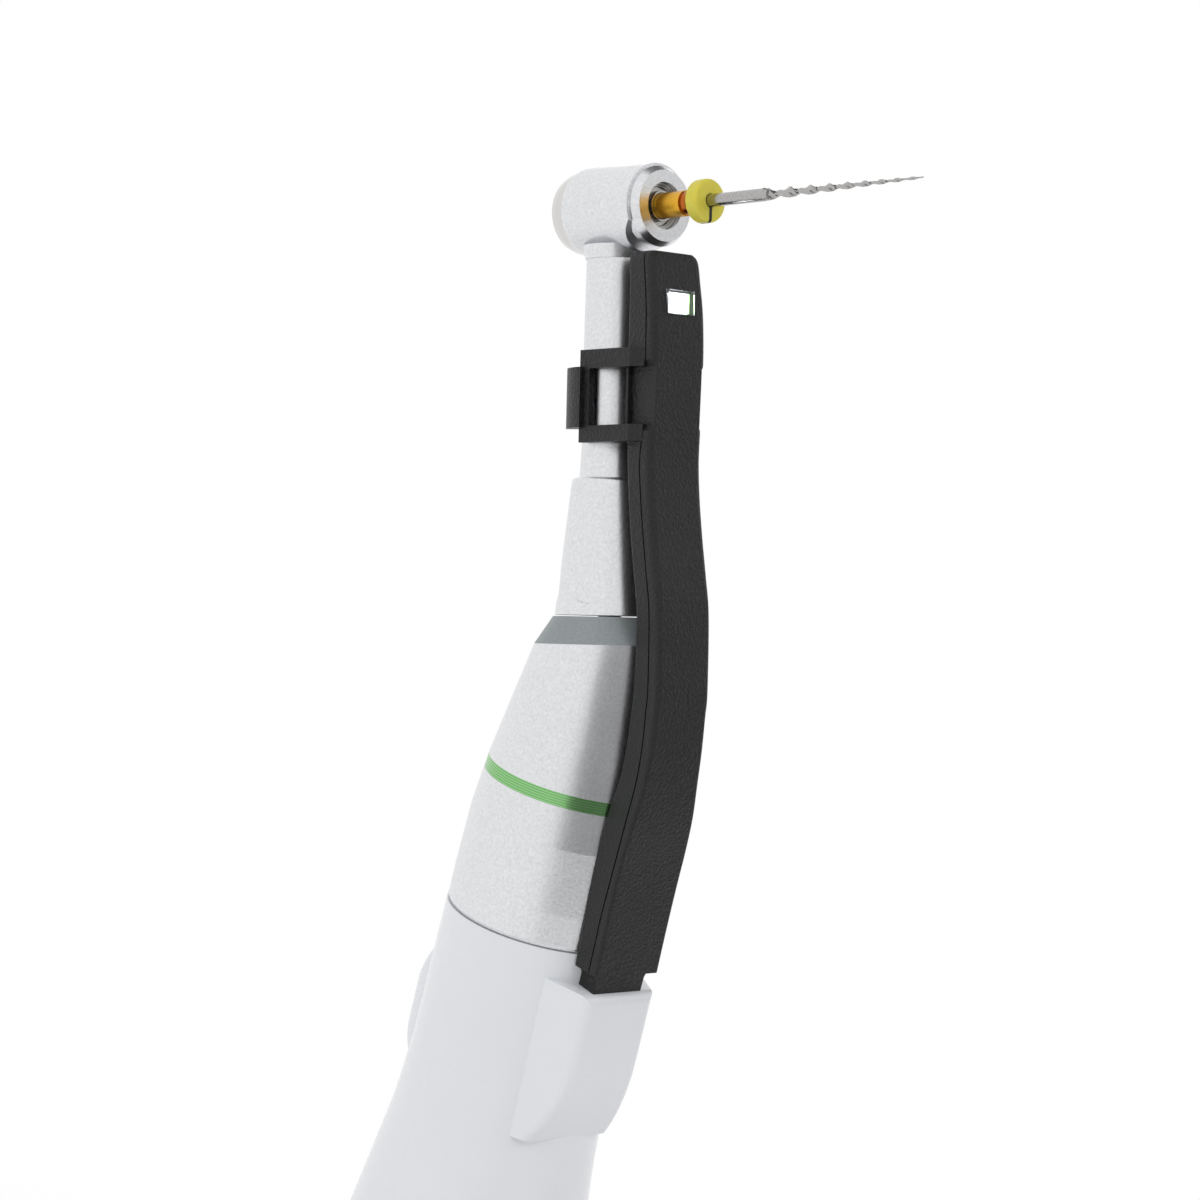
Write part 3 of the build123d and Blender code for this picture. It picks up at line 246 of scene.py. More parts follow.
# White half shells, end cap and thumb button of the handpiece.
# Moulded in glossy ABS from a polished mould: clean highlights, with a slight ripple from shrinkage.
white_abs, tree, shader = finish("glossy_moulded_abs", Roughness=0.16, IOR=1.53)
place = add_node(tree, "ShaderNodeTexCoord").outputs["Object"]
ripple = add_node(tree, "ShaderNodeTexNoise", {"Vector": place, "Scale": 1 / (2.5 * MM), "Detail": 2.0})
cloud = add_node(tree, "ShaderNodeTexNoise", {"Vector": place, "Scale": 1 / (14 * MM), "Detail": 4.0})
tone = add_node(
    tree,
    "ShaderNodeMix",
    {0: cloud.outputs["Fac"], 6: linear("#DADCE0"), 7: linear("#E1E3E6")},
    data_type="RGBA",
)
wear = add_node(tree, "ShaderNodeMapRange", {"Value": cloud.outputs["Fac"], "To Min": 0.12, "To Max": 0.24})
bump = add_node(
    tree, "ShaderNodeBump", {"Height": ripple.outputs["Fac"], "Strength": 0.12, "Distance": 0.02 * MM}
)
tree.links.new(tone.outputs[2], shader.inputs["Base Color"])
tree.links.new(wear.outputs[0], shader.inputs["Roughness"])
tree.links.new(bump.outputs[0], shader.inputs["Normal"])
dress(white_abs, "body_front_shell", "body_back_shell", "bottom_cap", "start_button")

# Screen: a clear acrylic window, glued in flush, over a dark display that is switched off.
# Cast sheet, cut and polished, so it is clearer and flatter than the shell round it.
clear_acrylic, tree, shader = finish("clear_cast_acrylic", Roughness=0.04, IOR=1.49, Transmission_Weight=1.0)
place = add_node(tree, "ShaderNodeTexCoord").outputs["Object"]
haze = add_node(tree, "ShaderNodeTexNoise", {"Vector": place, "Scale": 1 / (6 * MM), "Detail": 3.0})
wipe = add_node(tree, "ShaderNodeMapRange", {"Value": haze.outputs["Fac"], "To Min": 0.02, "To Max": 0.09})
tree.links.new(wipe.outputs[0], shader.inputs["Roughness"])
dress(clear_acrylic, "display_window")

panel_glass, tree, shader = finish("display_panel_glass", Roughness=0.25, Coat_Weight=0.6)
place = add_node(tree, "ShaderNodeTexCoord").outputs["Object"]
cells = add_node(tree, "ShaderNodeTexBrick", {"Vector": place, "Scale": 1 / (1.2 * MM), "Mortar Size": 0.02})
cells.inputs["Color1"].default_value = linear("#14181C")
cells.inputs["Color2"].default_value = linear("#171C20")
cells.inputs["Mortar"].default_value = linear("#0E1114")
tree.links.new(cells.outputs["Color"], shader.inputs["Base Color"])
dress(panel_glass, "display_panel")

# Keys: round caps of silicone rubber with a soft matt lacquer.
# The lacquer leaves them slightly darker than the shell, and thumbs polish their middles.
key_silicone, tree, shader = finish("lacquered_silicone", Roughness=0.5, IOR=1.43)
place = add_node(tree, "ShaderNodeTexCoord").outputs["Object"]
mottle = add_node(tree, "ShaderNodeTexNoise", {"Vector": place, "Scale": 1 / (1.5 * MM), "Detail": 4.0})
tone = add_node(
    tree,
    "ShaderNodeMix",
    {0: mottle.outputs["Fac"], 6: linear("#A9ADB3"), 7: linear("#B7BAC0")},
    data_type="RGBA",
)
dust = add_node(tree, "ShaderNodeTexNoise", {"Vector": place, "Scale": 1 / (0.15 * MM)})
bump = add_node(
    tree, "ShaderNodeBump", {"Height": dust.outputs["Fac"], "Strength": 0.3, "Distance": 0.01 * MM}
)
tree.links.new(tone.outputs[2], shader.inputs["Base Color"])
tree.links.new(bump.outputs[0], shader.inputs["Normal"])
dress(key_silicone, "set_key", "mode_key", "minus_key", "plus_key")

# Circuit boards: glass cloth in epoxy under green solder resist, cut from a larger sheet.
# The cloth's weave shows faintly through the resist.
solder_resist, tree, shader = finish("solder_resist_on_glass_epoxy", Roughness=0.3)
place = add_node(tree, "ShaderNodeTexCoord").outputs["Object"]
warp = add_node(tree, "ShaderNodeTexWave", {"Vector": place, "Scale": 1 / (3 * MM), "Distortion": 0.4})
weft = add_node(
    tree,
    "ShaderNodeTexWave",
    {"Vector": place, "Scale": 1 / (3 * MM), "Distortion": 0.4},
    bands_direction="Z",
)
cloth = add_node(
    tree, "ShaderNodeMath", {0: warp.outputs["Fac"], 1: weft.outputs["Fac"]}, operation="MULTIPLY"
)
tone = add_node(
    tree,
    "ShaderNodeMix",
    {0: cloth.outputs[0], 6: linear("#0E5A34"), 7: linear("#17703F")},
    data_type="RGBA",
)
tree.links.new(tone.outputs[2], shader.inputs["Base Color"])
dress(solder_resist, "main_board", "led_board")

# Tact switches: small moulded nylon bodies, soldered to the board and to the motor's bracket.
# Filled nylon is matt and shows short streaks of its fibres.
filled_nylon, tree, shader = finish("moulded_filled_nylon", Roughness=0.55)
place = add_node(tree, "ShaderNodeTexCoord").outputs["Object"]
streaks = add_node(tree, "ShaderNodeTexNoise", {"Vector": place, "Scale": 1 / (0.4 * MM), "Detail": 6.0})
tone = add_node(
    tree,
    "ShaderNodeMix",
    {0: streaks.outputs["Fac"], 6: linear("#17181A"), 7: linear("#26272A")},
    data_type="RGBA",
)
tree.links.new(tone.outputs[2], shader.inputs["Base Color"])
dress(filled_nylon, "key_switches", "start_switch")

# Rechargeable cell: a steel can in a tight blue sleeve of shrunk PVC.
# Shrinking leaves the film glossy, with faint rings where it pulled in.
shrunk_film, tree, shader = finish("shrunk_pvc_film", Roughness=0.25, Coat_Weight=0.3)
place = add_node(tree, "ShaderNodeTexCoord").outputs["Object"]
rings = add_node(
    tree,
    "ShaderNodeTexWave",
    {"Vector": place, "Scale": 1 / (9 * MM), "Distortion": 2.0, "Detail": 2.0},
    bands_direction="Z",
)
tone = add_node(
    tree,
    "ShaderNodeMix",
    {0: rings.outputs["Fac"], 6: linear("#23508F"), 7: linear("#285899")},
    data_type="RGBA",
)
bump = add_node(
    tree, "ShaderNodeBump", {"Height": rings.outputs["Fac"], "Strength": 0.2, "Distance": 0.02 * MM}
)
tree.links.new(tone.outputs[2], shader.inputs["Base Color"])
tree.links.new(bump.outputs[0], shader.inputs["Normal"])
dress(shrunk_film, "battery")

# Contacts: turned brass pins and pads with a thin plating of gold.
# The plating is bright, with fine marks where the plug has rubbed it.
gold_plate, tree, shader = finish("gold_plated_brass", Metallic=1.0)
shader.inputs["Base Color"].default_value = linear("#E2B657")
place = add_node(tree, "ShaderNodeTexCoord").outputs["Object"]
rubs = add_node(tree, "ShaderNodeTexNoise", {"Vector": place, "Scale": 1 / (0.3 * MM), "Detail": 5.0})
worn = add_node(tree, "ShaderNodeMapRange", {"Value": rubs.outputs["Fac"], "To Min": 0.12, "To Max": 0.35})
tree.links.new(worn.outputs[0], shader.inputs["Roughness"])
dress(gold_plate, "charge_contacts", "socket_contacts", "led_plug_pads")

# Springs: hard-drawn stainless wire, coiled cold.
# Drawing leaves it half bright, with dark lines along the wire.
spring_wire, tree, shader = finish("hard_drawn_steel_wire", Metallic=1.0)
place = add_node(tree, "ShaderNodeTexCoord").outputs["Object"]
lines = add_node(tree, "ShaderNodeTexNoise", {"Vector": place, "Scale": 1 / (0.2 * MM), "Detail": 3.0})
tone = add_node(
    tree,
    "ShaderNodeMix",
    {0: lines.outputs["Fac"], 6: linear("#8E8F92"), 7: linear("#BDBEC0")},
    data_type="RGBA",
)
tree.links.new(tone.outputs[2], shader.inputs["Base Color"])
shader.inputs["Roughness"].default_value = 0.3
dress(spring_wire, "battery_spring", "cap_spring")

# Motor can and nose: turned from free-cutting steel and nickel plated.
# Turning leaves fine rings about the axis, which the plating follows.
turned_nickel, tree, shader = finish("nickel_plated_turned_steel", Metallic=1.0, Roughness=0.28)
place = add_node(tree, "ShaderNodeTexCoord").outputs["Object"]
feed = add_node(
    tree,
    "ShaderNodeTexWave",
    {"Vector": place, "Scale": 1 / (4 * MM), "Distortion": 0.6, "Detail": 3.0},
    bands_direction="Z",
)
tone = add_node(
    tree,
    "ShaderNodeMix",
    {0: feed.outputs["Fac"], 6: linear("#A9A7A2"), 7: linear("#C4C2BD")},
    data_type="RGBA",
)
bump = add_node(
    tree, "ShaderNodeBump", {"Height": feed.outputs["Fac"], "Strength": 0.3, "Distance": 0.01 * MM}
)
tree.links.new(tone.outputs[2], shader.inputs["Base Color"])
tree.links.new(bump.outputs[0], shader.inputs["Normal"])
dress(turned_nickel, "motor_can", "motor_nose")

# Rotor magnet: sintered neodymium, ground round and coated.
# A grey skin with the fine pits of the pressed powder.
sintered_magnet, tree, shader = finish("sintered_magnet", Metallic=0.6, Roughness=0.45)
place = add_node(tree, "ShaderNodeTexCoord").outputs["Object"]
pits = add_node(tree, "ShaderNodeTexVoronoi", {"Vector": place, "Scale": 1 / (0.3 * MM)})
tone = add_node(
    tree,
    "ShaderNodeMix",
    {0: pits.outputs["Distance"], 6: linear("#4A4B4F"), 7: linear("#5B5C61")},
    data_type="RGBA",
)
tree.links.new(tone.outputs[2], shader.inputs["Base Color"])
dress(sintered_magnet, "rotor_magnet")

# Ring in the nose's groove: a cord of nitrile rubber that grips the contra-angle.
# Moulded and greased, so it is black and half dull.
nitrile, tree, shader = finish("greased_nitrile_rubber", Roughness=0.4)
place = add_node(tree, "ShaderNodeTexCoord").outputs["Object"]
grease = add_node(tree, "ShaderNodeTexNoise", {"Vector": place, "Scale": 1 / (1.0 * MM), "Detail": 3.0})
film = add_node(tree, "ShaderNodeMapRange", {"Value": grease.outputs["Fac"], "To Min": 0.2, "To Max": 0.6})
shader.inputs["Base Color"].default_value = linear("#161616")
tree.links.new(film.outputs[0], shader.inputs["Roughness"])
dress(nitrile, "nose_ring")

# Shafts, gears and bearings: case-hardened steel, hobbed or ground, with a film of oil.
# Ground faces are bright, with short scratches across them.
ground_steel, tree, shader = finish("ground_hardened_steel", Metallic=1.0)
place = add_node(tree, "ShaderNodeTexCoord").outputs["Object"]
scratch = add_node(tree, "ShaderNodeTexNoise", {"Vector": place, "Scale": 1 / (0.25 * MM), "Detail": 5.0})
shine = add_node(
    tree, "ShaderNodeMapRange", {"Value": scratch.outputs["Fac"], "To Min": 0.12, "To Max": 0.36}
)
tone = add_node(
    tree,
    "ShaderNodeMix",
    {0: scratch.outputs["Fac"], 6: linear("#9C9A97"), 7: linear("#C2C0BC")},
    data_type="RGBA",
)
tree.links.new(tone.outputs[2], shader.inputs["Base Color"])
tree.links.new(shine.outputs[0], shader.inputs["Roughness"])
dress(
    ground_steel,
    "motor_shaft",
    "drive_dog",
    "nose_bearing",
    "input_shaft",
    "input_bearing",
    "ring_gear",
    "planet_gear_1",
    "planet_gear_2",
    "planet_gear_3",
    "planet_carrier",
    "carrier_bearing",
    "neck_shaft",
    "neck_bearing_low",
    "neck_bearing_high",
    "chuck_spindle",
    "chuck_bearing_front",
    "chuck_bearing_rear",
)

# Barrel, cone, sleeve, neck tube and head housing: turned steel, bead blasted and satin chromed.
# Blasting leaves a fine even grain that spreads each reflection wide; here it is drawn at 0.25 mm.
blasted_chrome, tree, shader = finish("bead_blasted_satin_chrome", Metallic=1.0)
place = add_node(tree, "ShaderNodeTexCoord").outputs["Object"]
grain = add_node(tree, "ShaderNodeTexNoise", {"Vector": place, "Scale": 1 / (0.25 * MM), "Detail": 2.0})
cloud = add_node(tree, "ShaderNodeTexNoise", {"Vector": place, "Scale": 1 / (7 * MM), "Detail": 3.0})
tone = add_node(
    tree,
    "ShaderNodeMix",
    {0: grain.outputs["Fac"], 6: linear("#CDCED0"), 7: linear("#F2F3F5")},
    data_type="RGBA",
)
satin = add_node(tree, "ShaderNodeMapRange", {"Value": cloud.outputs["Fac"], "To Min": 0.27, "To Max": 0.36})
bump = add_node(
    tree, "ShaderNodeBump", {"Height": grain.outputs["Fac"], "Strength": 0.5, "Distance": 0.02 * MM}
)
tree.links.new(tone.outputs[2], shader.inputs["Base Color"])
tree.links.new(satin.outputs[0], shader.inputs["Roughness"])
tree.links.new(bump.outputs[0], shader.inputs["Normal"])
dress(blasted_chrome, "barrel", "handle_cone", "neck_sleeve", "neck_tube", "head_housing")

# Ring between barrel and cone: aluminium, turned bright and dyed green by anodising.
# The clear oxide keeps the metal's sheen under the dye, with the turning marks round it.
green_anodised, tree, shader = finish("green_anodised_aluminium", Metallic=1.0, Roughness=0.24)
place = add_node(tree, "ShaderNodeTexCoord").outputs["Object"]
feed = add_node(
    tree,
    "ShaderNodeTexWave",
    {"Vector": place, "Scale": 1 / (0.7 * MM), "Distortion": 0.3},
    bands_direction="Z",
)
tone = add_node(
    tree,
    "ShaderNodeMix",
    {0: feed.outputs["Fac"], 6: linear("#6FB065"), 7: linear("#9CCB93")},
    data_type="RGBA",
)
tree.links.new(tone.outputs[2], shader.inputs["Base Color"])
dress(green_anodised, "green_ring")

# Collar at the bend: titanium-grey hard-anodised aluminium.
# A thick oxide is dull and darker than the chrome beside it.
hard_anodised, tree, shader = finish("grey_hard_anodised_aluminium", Metallic=0.35)
place = add_node(tree, "ShaderNodeTexCoord").outputs["Object"]
grain = add_node(tree, "ShaderNodeTexNoise", {"Vector": place, "Scale": 1 / (0.22 * MM), "Detail": 2.0})
tone = add_node(
    tree,
    "ShaderNodeMix",
    {0: grain.outputs["Fac"], 6: linear("#7C8284"), 7: linear("#969C9E")},
    data_type="RGBA",
)
tree.links.new(tone.outputs[2], shader.inputs["Base Color"])
shader.inputs["Roughness"].default_value = 0.45
dress(hard_anodised, "grey_collar")

# Rear ring and push cap of the head: turned stainless steel, polished bright.
# Polish leaves sharp reflections and hair-thin rings.
bright_steel, tree, shader = finish("polished_stainless_steel", Metallic=1.0)
place = add_node(tree, "ShaderNodeTexCoord").outputs["Object"]
hairs = add_node(tree, "ShaderNodeTexNoise", {"Vector": place, "Scale": 1 / (0.5 * MM), "Detail": 6.0})
shine = add_node(tree, "ShaderNodeMapRange", {"Value": hairs.outputs["Fac"], "To Min": 0.05, "To Max": 0.18})
shader.inputs["Base Color"].default_value = linear("#D3D2D0")
tree.links.new(shine.outputs[0], shader.inputs["Roughness"])
dress(bright_steel, "cap_ring", "push_cap")

# Light bar: two shells of black polycarbonate from a spark-eroded mould.
# The eroded steel prints a dense field of tiny craters, here 0.28 mm, that sparkle where they face the light.
spark_black, tree, shader = finish("spark_textured_polycarbonate", Roughness=0.42, IOR=1.58)
place = add_node(tree, "ShaderNodeTexCoord").outputs["Object"]
craters = add_node(tree, "ShaderNodeTexNoise", {"Vector": place, "Scale": 1 / (0.28 * MM), "Detail": 3.0})
dusty = add_node(tree, "ShaderNodeTexNoise", {"Vector": place, "Scale": 1 / (4 * MM), "Detail": 4.0})
tone = add_node(
    tree,
    "ShaderNodeMix",
    {0: dusty.outputs["Fac"], 6: linear("#0F0F10"), 7: linear("#19191A")},
    data_type="RGBA",
)
bump = add_node(
    tree, "ShaderNodeBump", {"Height": craters.outputs["Fac"], "Strength": 1.0, "Distance": 0.16 * MM}
)
tree.links.new(tone.outputs[2], shader.inputs["Base Color"])
tree.links.new(bump.outputs[0], shader.inputs["Normal"])
shader.inputs["Specular IOR Level"].default_value = 0.3
dress(spark_black, "led_bar_front", "led_bar_back")

# Light bar with its clip and plug: the two black shells, closed on each other.
# The form is lofted through rounded sections with a fine groove where the shells part, and the window
# of the light and the notches beside the clip are cut out of it.
joint_height = 132.0 * MM
bend_height = 156.3 * MM
neck_lean = radians(17.5)
ahead = Vector((cos(neck_lean), 0, sin(neck_lean)))
upward = Vector((-sin(neck_lean), 0, cos(neck_lean)))
bend = Vector((0, 0, bend_height))
# Each section: on the neck or not, height, back, front, half width, front corner, parting share
bar_sections = (
    (False, -1.0, 8.5, 11.4, 3.8, 0.3, 0.66),
    (False, 1.5, 8.35, 11.3, 3.82, 0.3, 0.68),
    (False, 4.5, 8.1, 11.2, 3.85, 0.3, 0.71),
    (False, 7.5, 7.95, 11.15, 3.87, 0.3, 0.76),
    (False, 10.5, 7.85, 11.18, 3.84, 0.3, 0.77),
    (False, 13.5, 7.9, 11.22, 3.65, 0.3, 0.72),
    (False, 16.5, 7.95, 11.1, 3.35, 0.35, 0.67),
    (False, 19.5, 7.6, 10.8, 3.22, 0.4, 0.64),
    (False, 22.5, 7.1, 10.25, 3.18, 0.42, 0.61),
    (False, 24.7, 6.65, 9.8, 3.18, 0.45, 0.6),
    (True, 4.0, 6.57, 9.42, 3.2, 0.5, 0.58),
    (True, 7.4, 6.12, 9.0, 3.22, 0.6, 0.58),
    (True, 10.8, 5.6, 8.48, 3.2, 0.6, 0.58),
    (True, 14.2, 5.2, 8.06, 3.18, 0.6, 0.57),
    (True, 17.4, 4.98, 7.85, 3.18, 0.6, 0.57),
    (True, 20.6, 4.9, 7.93, 3.2, 0.6, 0.7),
    (True, 23.8, 4.85, 8.03, 3.22, 0.6, 0.7),
    (True, 27.0, 4.8, 8.08, 3.22, 0.6, 0.7),
    (True, 30.3, 4.8, 7.95, 3.18, 0.6, 0.7),
    (True, 33.0, 4.7, 7.6, 3.12, 0.6, 0.7),
    (True, 34.9, 4.6, 7.3, 3.05, 0.6, 0.7),
    (True, 35.5, 4.8, 7.1, 2.5, 0.5, 0.7),
)


def on_neck(forward, across, along):
    """A point beside the neck: ahead of it, across it and along it."""
    return bend + ahead * forward * MM + Vector((0, across * MM, 0)) + upward * along * MM


back_edge = 0.25  # width of the broken edge along the back, in millimetres like all below
back_edge_mid = 0.07
groove_mouth = 0.07  # half widths of the parting groove at its mouth and at its floor
groove_floor = 0.04
groove_depth = 0.16
corner_steps = 4
rings_between = 6  # rings drawn from each section to the next


def bar_ring(tilted, height, back, front, half, corner, share):
    """The outline of one section, with the groove of the parting line on both sides."""
    side = [(back, half - back_edge), (back + back_edge_mid, half - back_edge_mid), (back + back_edge, half)]
    parting = back + share * (front - back)
    side += [(parting - groove_mouth, half), (parting - groove_floor, half - groove_depth)]
    side += [(parting + groove_floor, half - groove_depth), (parting + groove_mouth, half)]
    for step in range(corner_steps + 1):
        angle = radians(90 * step / corner_steps)
        side.append((front - corner + corner * sin(angle), half - corner + corner * cos(angle)))
    ring = side + [(f, -y) for f, y in reversed(side)]
    if tilted:
        return [on_neck(f, y, height) for f, y in ring]
    return [Vector((f * MM, y * MM, joint_height + height * MM)) for f, y in ring]


def eased(before, low, high, after, share):
    """A point on the smooth curve between two of four points."""
    return 0.5 * (
        2 * low
        + (high - before) * share
        + (2 * before - 5 * low + 4 * high - after) * share**2
        + (3 * low - before - 3 * high + after) * share**3
    )


def bar_shells(work):
    """The closed form of both shells, smooth along its length."""
    rings = [bar_ring(*section) for section in bar_sections]
    last = len(rings) - 1
    smooth = []
    for number in range(last):
        four = [rings[max(number - 1, 0)], rings[number], rings[number + 1], rings[min(number + 2, last)]]
        for step in range(rings_between):
            smooth.append([eased(*corners, step / rings_between) for corners in zip(*four)])
    smooth.append(rings[-1])
    rows = [[work.verts.new(point) for point in ring] for ring in smooth]
    count = len(rows[0])
    for low, high in zip(rows, rows[1:]):
        for i in range(count):
            work.faces.new((low[i], low[(i + 1) % count], high[(i + 1) % count], high[i]))
    work.faces.new(rows[0])
    work.faces.new(list(reversed(rows[-1])))
    bmesh.ops.recalc_face_normals(work, faces=work.faces)


def prism(work, outline, low, high, place):
    """Draw an outline out from one height to another, both placed by a function."""
    bottom = [work.verts.new(place(a, b, low)) for a, b in outline]
    top = [work.verts.new(place(a, b, high)) for a, b in outline]
    count = len(outline)
    faces = [work.faces.new(bottom), work.faces.new(list(reversed(top)))]
    for i in range(count):
        faces.append(work.faces.new((bottom[i], top[i], top[(i + 1) % count], bottom[(i + 1) % count])))
    bmesh.ops.recalc_face_normals(work, faces=faces)


cut_front = 12  # beyond the bar's front, so that the cuts go right through
window_half = 1.5
window_back = 6.75
window_low = 30.1
window_top = 32.2
notch_floor = 2.75  # half width of the bar that is left between the notches
notch_outside = 4.75
notch_low = 20.3
notch_top = 25.5
notch_slant = 2.0  # how much longer a notch is at its outside, at each end
notch_back = 4.5


def notch_place(across, along, forward):
    """A point of a notch: across the bar, along the neck and ahead of it."""
    return on_neck(forward, across, along)


def bar_cuts(work):
    """The window of the light and the two notches with their slanted ends."""
    window = [(window_back, -window_half), (cut_front, -window_half)]
    window += [(cut_front, window_half), (window_back, window_half)]
    prism(work, window, window_low, window_top, on_neck)
    for hand in (-1, 1):
        notch = [(hand * notch_floor, notch_low), (hand * notch_floor, notch_top)]
        notch.append((hand * notch_outside, notch_top + notch_slant))
        notch.append((hand * notch_outside, notch_low - notch_slant))
        prism(work, notch, notch_back, cut_front, notch_place)


clip_low = 19.0
clip_top = 27.1
frame_low = 20.45  # the clip's window lies between its two bridges
frame_top = 25.45
clip_outer = 3.8
clip_inner = 3.05
clip_behind = -0.7
arm_bevel = 0.2
post_front = 0.7
bridge_back = 2.95
bridge_front = 6.9
bridge_shoulder = 5.7
bridge_front_half = 3.2
lip_outer = 4.25
lip_inner = 2.95
lip_low = 20.3
lip_top = 25.6
lip_steps = 10
lip_turn = 5  # degrees for each step of a lip, from the neck's side round to its back
rib_back = 4.7
rib_front = 5.0
rib_inner = 2.6
rib_outer = 3.2
plug_half = 2.88
plug_end = -3.1
plug_back = 8.7
plug_front = 10.7
root_half = 3.58
root_start = -1.9
root_top = -0.8
root_out = 0.7
root_rise = 0.9
root_steps = 5


def plug_place(across, up, forward):
    """A point of the plug: across it, up from the joint and ahead of the axis."""
    return Vector((forward, across, up)) * MM + Vector((0, 0, joint_height))


def clip_and_plug(work):
    """The frame of the clip, its two lips behind the neck, and the plug with its curved root."""
    bridge = [(bridge_back, -clip_outer), (bridge_shoulder, -clip_outer), (bridge_front, -bridge_front_half)]
    bridge += [(bridge_front, bridge_front_half), (bridge_shoulder, clip_outer), (bridge_back, clip_outer)]
    for low, high in ((clip_low, frame_low), (frame_top, clip_top)):
        prism(work, bridge, low, high, on_neck)
    arms = (
        (clip_low, frame_low, bridge_back),
        (frame_low, frame_top, post_front),
        (frame_top, clip_top, bridge_back),
    )
    for hand in (-1, 1):
        for low, high, front in arms:
            arm = [(clip_behind, clip_inner), (front, clip_inner), (front, clip_outer)]
            arm += [(clip_behind + arm_bevel, clip_outer), (clip_behind, clip_outer - arm_bevel)]
            prism(work, [(f, hand * y) for f, y in arm], low, high, on_neck)
        turns = [radians(90 + lip_turn * step) for step in range(lip_steps + 1)]
        lip = [(lip_outer * cos(turn), lip_outer * sin(turn)) for turn in turns]
        lip += [(lip_inner * cos(turn), lip_inner * sin(turn)) for turn in reversed(turns)]
        prism(work, [(f, hand * y) for f, y in lip], lip_low, lip_top, on_neck)
        rib = [(rib_back, hand * rib_inner), (rib_front, hand * rib_inner)]
        rib += [(rib_front, hand * rib_outer), (rib_back, hand * rib_outer)]
        prism(work, rib, clip_low, clip_top, on_neck)
    side = [(plug_half, plug_end), (plug_half, root_start)]
    for step in range(1, root_steps + 1):
        turn = radians(90 * step / root_steps)
        side.append((plug_half + root_out * (1 - cos(turn)), root_start + root_rise * sin(turn)))
    side.append((root_half, root_top))
    plug = side + [(-y, z) for y, z in reversed(side)]
    prism(work, plug, plug_back, plug_front, plug_place)


shells = mesh_piece("light_bar_shells", bar_shells, spark_black)
cutter = mesh_piece("light_bar_cuts", bar_cuts, spark_black)
cut = shells.modifiers.new("cut", "BOOLEAN")
cut.object = cutter
cut.solver = "EXACT"
shells.data = bpy.data.meshes.new_from_object(shells.evaluated_get(bpy.context.evaluated_depsgraph_get()))
shells.modifiers.clear()
bpy.data.objects.remove(cutter)
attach(shells, "contra_angle")
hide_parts("led_bar_front", "led_bar_back")

# Sleeve of the neck: turned in the same satin chrome, with five shallow finger flats milled round it.
# Each flat has a round lower end and a floor that slopes out into the sleeve's taper.
sleeve_low = 3.85  # all in millimetres, the tapers in millimetres of radius for each one along
sleeve_waist = 11.5
sleeve_top = 16.0
sleeve_low_radius = 4.87
sleeve_waist_radius = 4.05
lower_taper = 0.107
upper_taper = 0.105
top_round = 0.4
flat_count = 5
flat_low = 4.9
flat_end = 2.0
flat_half = 1.6
flat_depth_radius = 4.41
flat_taper = 0.0415
first_flat = radians(-68)
sleeve_steps = 150
sleeve_sides = 360


def sleeve_radius(along, angle):
    """Radius of the sleeve at a height along the neck, in one direction round it."""
    if along < sleeve_waist:
        radius = sleeve_low_radius - (along - sleeve_low) * lower_taper
    else:
        radius = sleeve_waist_radius - (along - sleeve_waist) * upper_taper
    if along > sleeve_top - top_round:
        radius -= top_round - (top_round**2 - (along - sleeve_top + top_round) ** 2) ** 0.5
    off = (angle - first_flat + pi / flat_count) % (tau / flat_count) - pi / flat_count
    floor_at = (flat_depth_radius - (along - flat_low) * flat_taper) / cos(off)
    sideways = abs(floor_at * sin(off))
    below_end = along < flat_low + flat_end
    within = sideways**2 + (along - flat_low - flat_end) ** 2 < flat_end**2 if below_end else True
    return min(radius, floor_at) if within and sideways < flat_half else radius


def sleeve_form(work):
    """Rings of the sleeve from its foot to its top, closed over the tube inside it."""
    angles = [tau * turn / sleeve_sides for turn in range(sleeve_sides)]
    rows = []
    for step in range(sleeve_steps + 1):
        along = sleeve_low + (sleeve_top - sleeve_low) * step / sleeve_steps
        radii = [sleeve_radius(along, angle) for angle in angles]
        rows.append([work.verts.new(on_neck(r * cos(a), r * sin(a), along)) for r, a in zip(radii, angles)])
    for low, high in zip(rows, rows[1:]):
        for i in range(sleeve_sides):
            after = (i + 1) % sleeve_sides
            work.faces.new((low[i], low[after], high[after], high[i]))
    work.faces.new(rows[0])
    work.faces.new(list(reversed(rows[-1])))
    bmesh.ops.recalc_face_normals(work, faces=work.faces)
    for face in work.faces:
        face.smooth = len(face.verts) == 4


sleeve = mesh_piece("sleeve_with_flats", sleeve_form, blasted_chrome)
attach(sleeve, "contra_angle")
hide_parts("neck_sleeve")
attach(mesh_piece("light_bar_clip_and_plug", clip_and_plug, spark_black), "contra_angle")

# Light of the bar: a white light-emitting diode under a clear polycarbonate lens.
# The lit diode is white in the middle, and its phosphor's rim turns green in the lens.
lit_phosphor, tree, shader = finish("lit_white_phosphor")
place = add_node(tree, "ShaderNodeTexCoord").outputs["Object"]
across = add_node(tree, "ShaderNodeSeparateXYZ", {"Vector": place})
rim = add_node(
    tree,
    "ShaderNodeMapRange",
    {"Value": across.outputs["Y"], "From Min": 0.9 * MM, "From Max": 1.4 * MM},
)
tone = add_node(
    tree,
    "ShaderNodeMix",
    {0: rim.outputs[0], 6: linear("#F4F8FF"), 7: linear("#9FE07A")},
    data_type="RGBA",
)
tree.links.new(tone.outputs[2], shader.inputs["Base Color"])
tree.links.new(tone.outputs[2], shader.inputs["Emission Color"])
shader.inputs["Emission Strength"].default_value = 6.0
dress(lit_phosphor, "led_module")

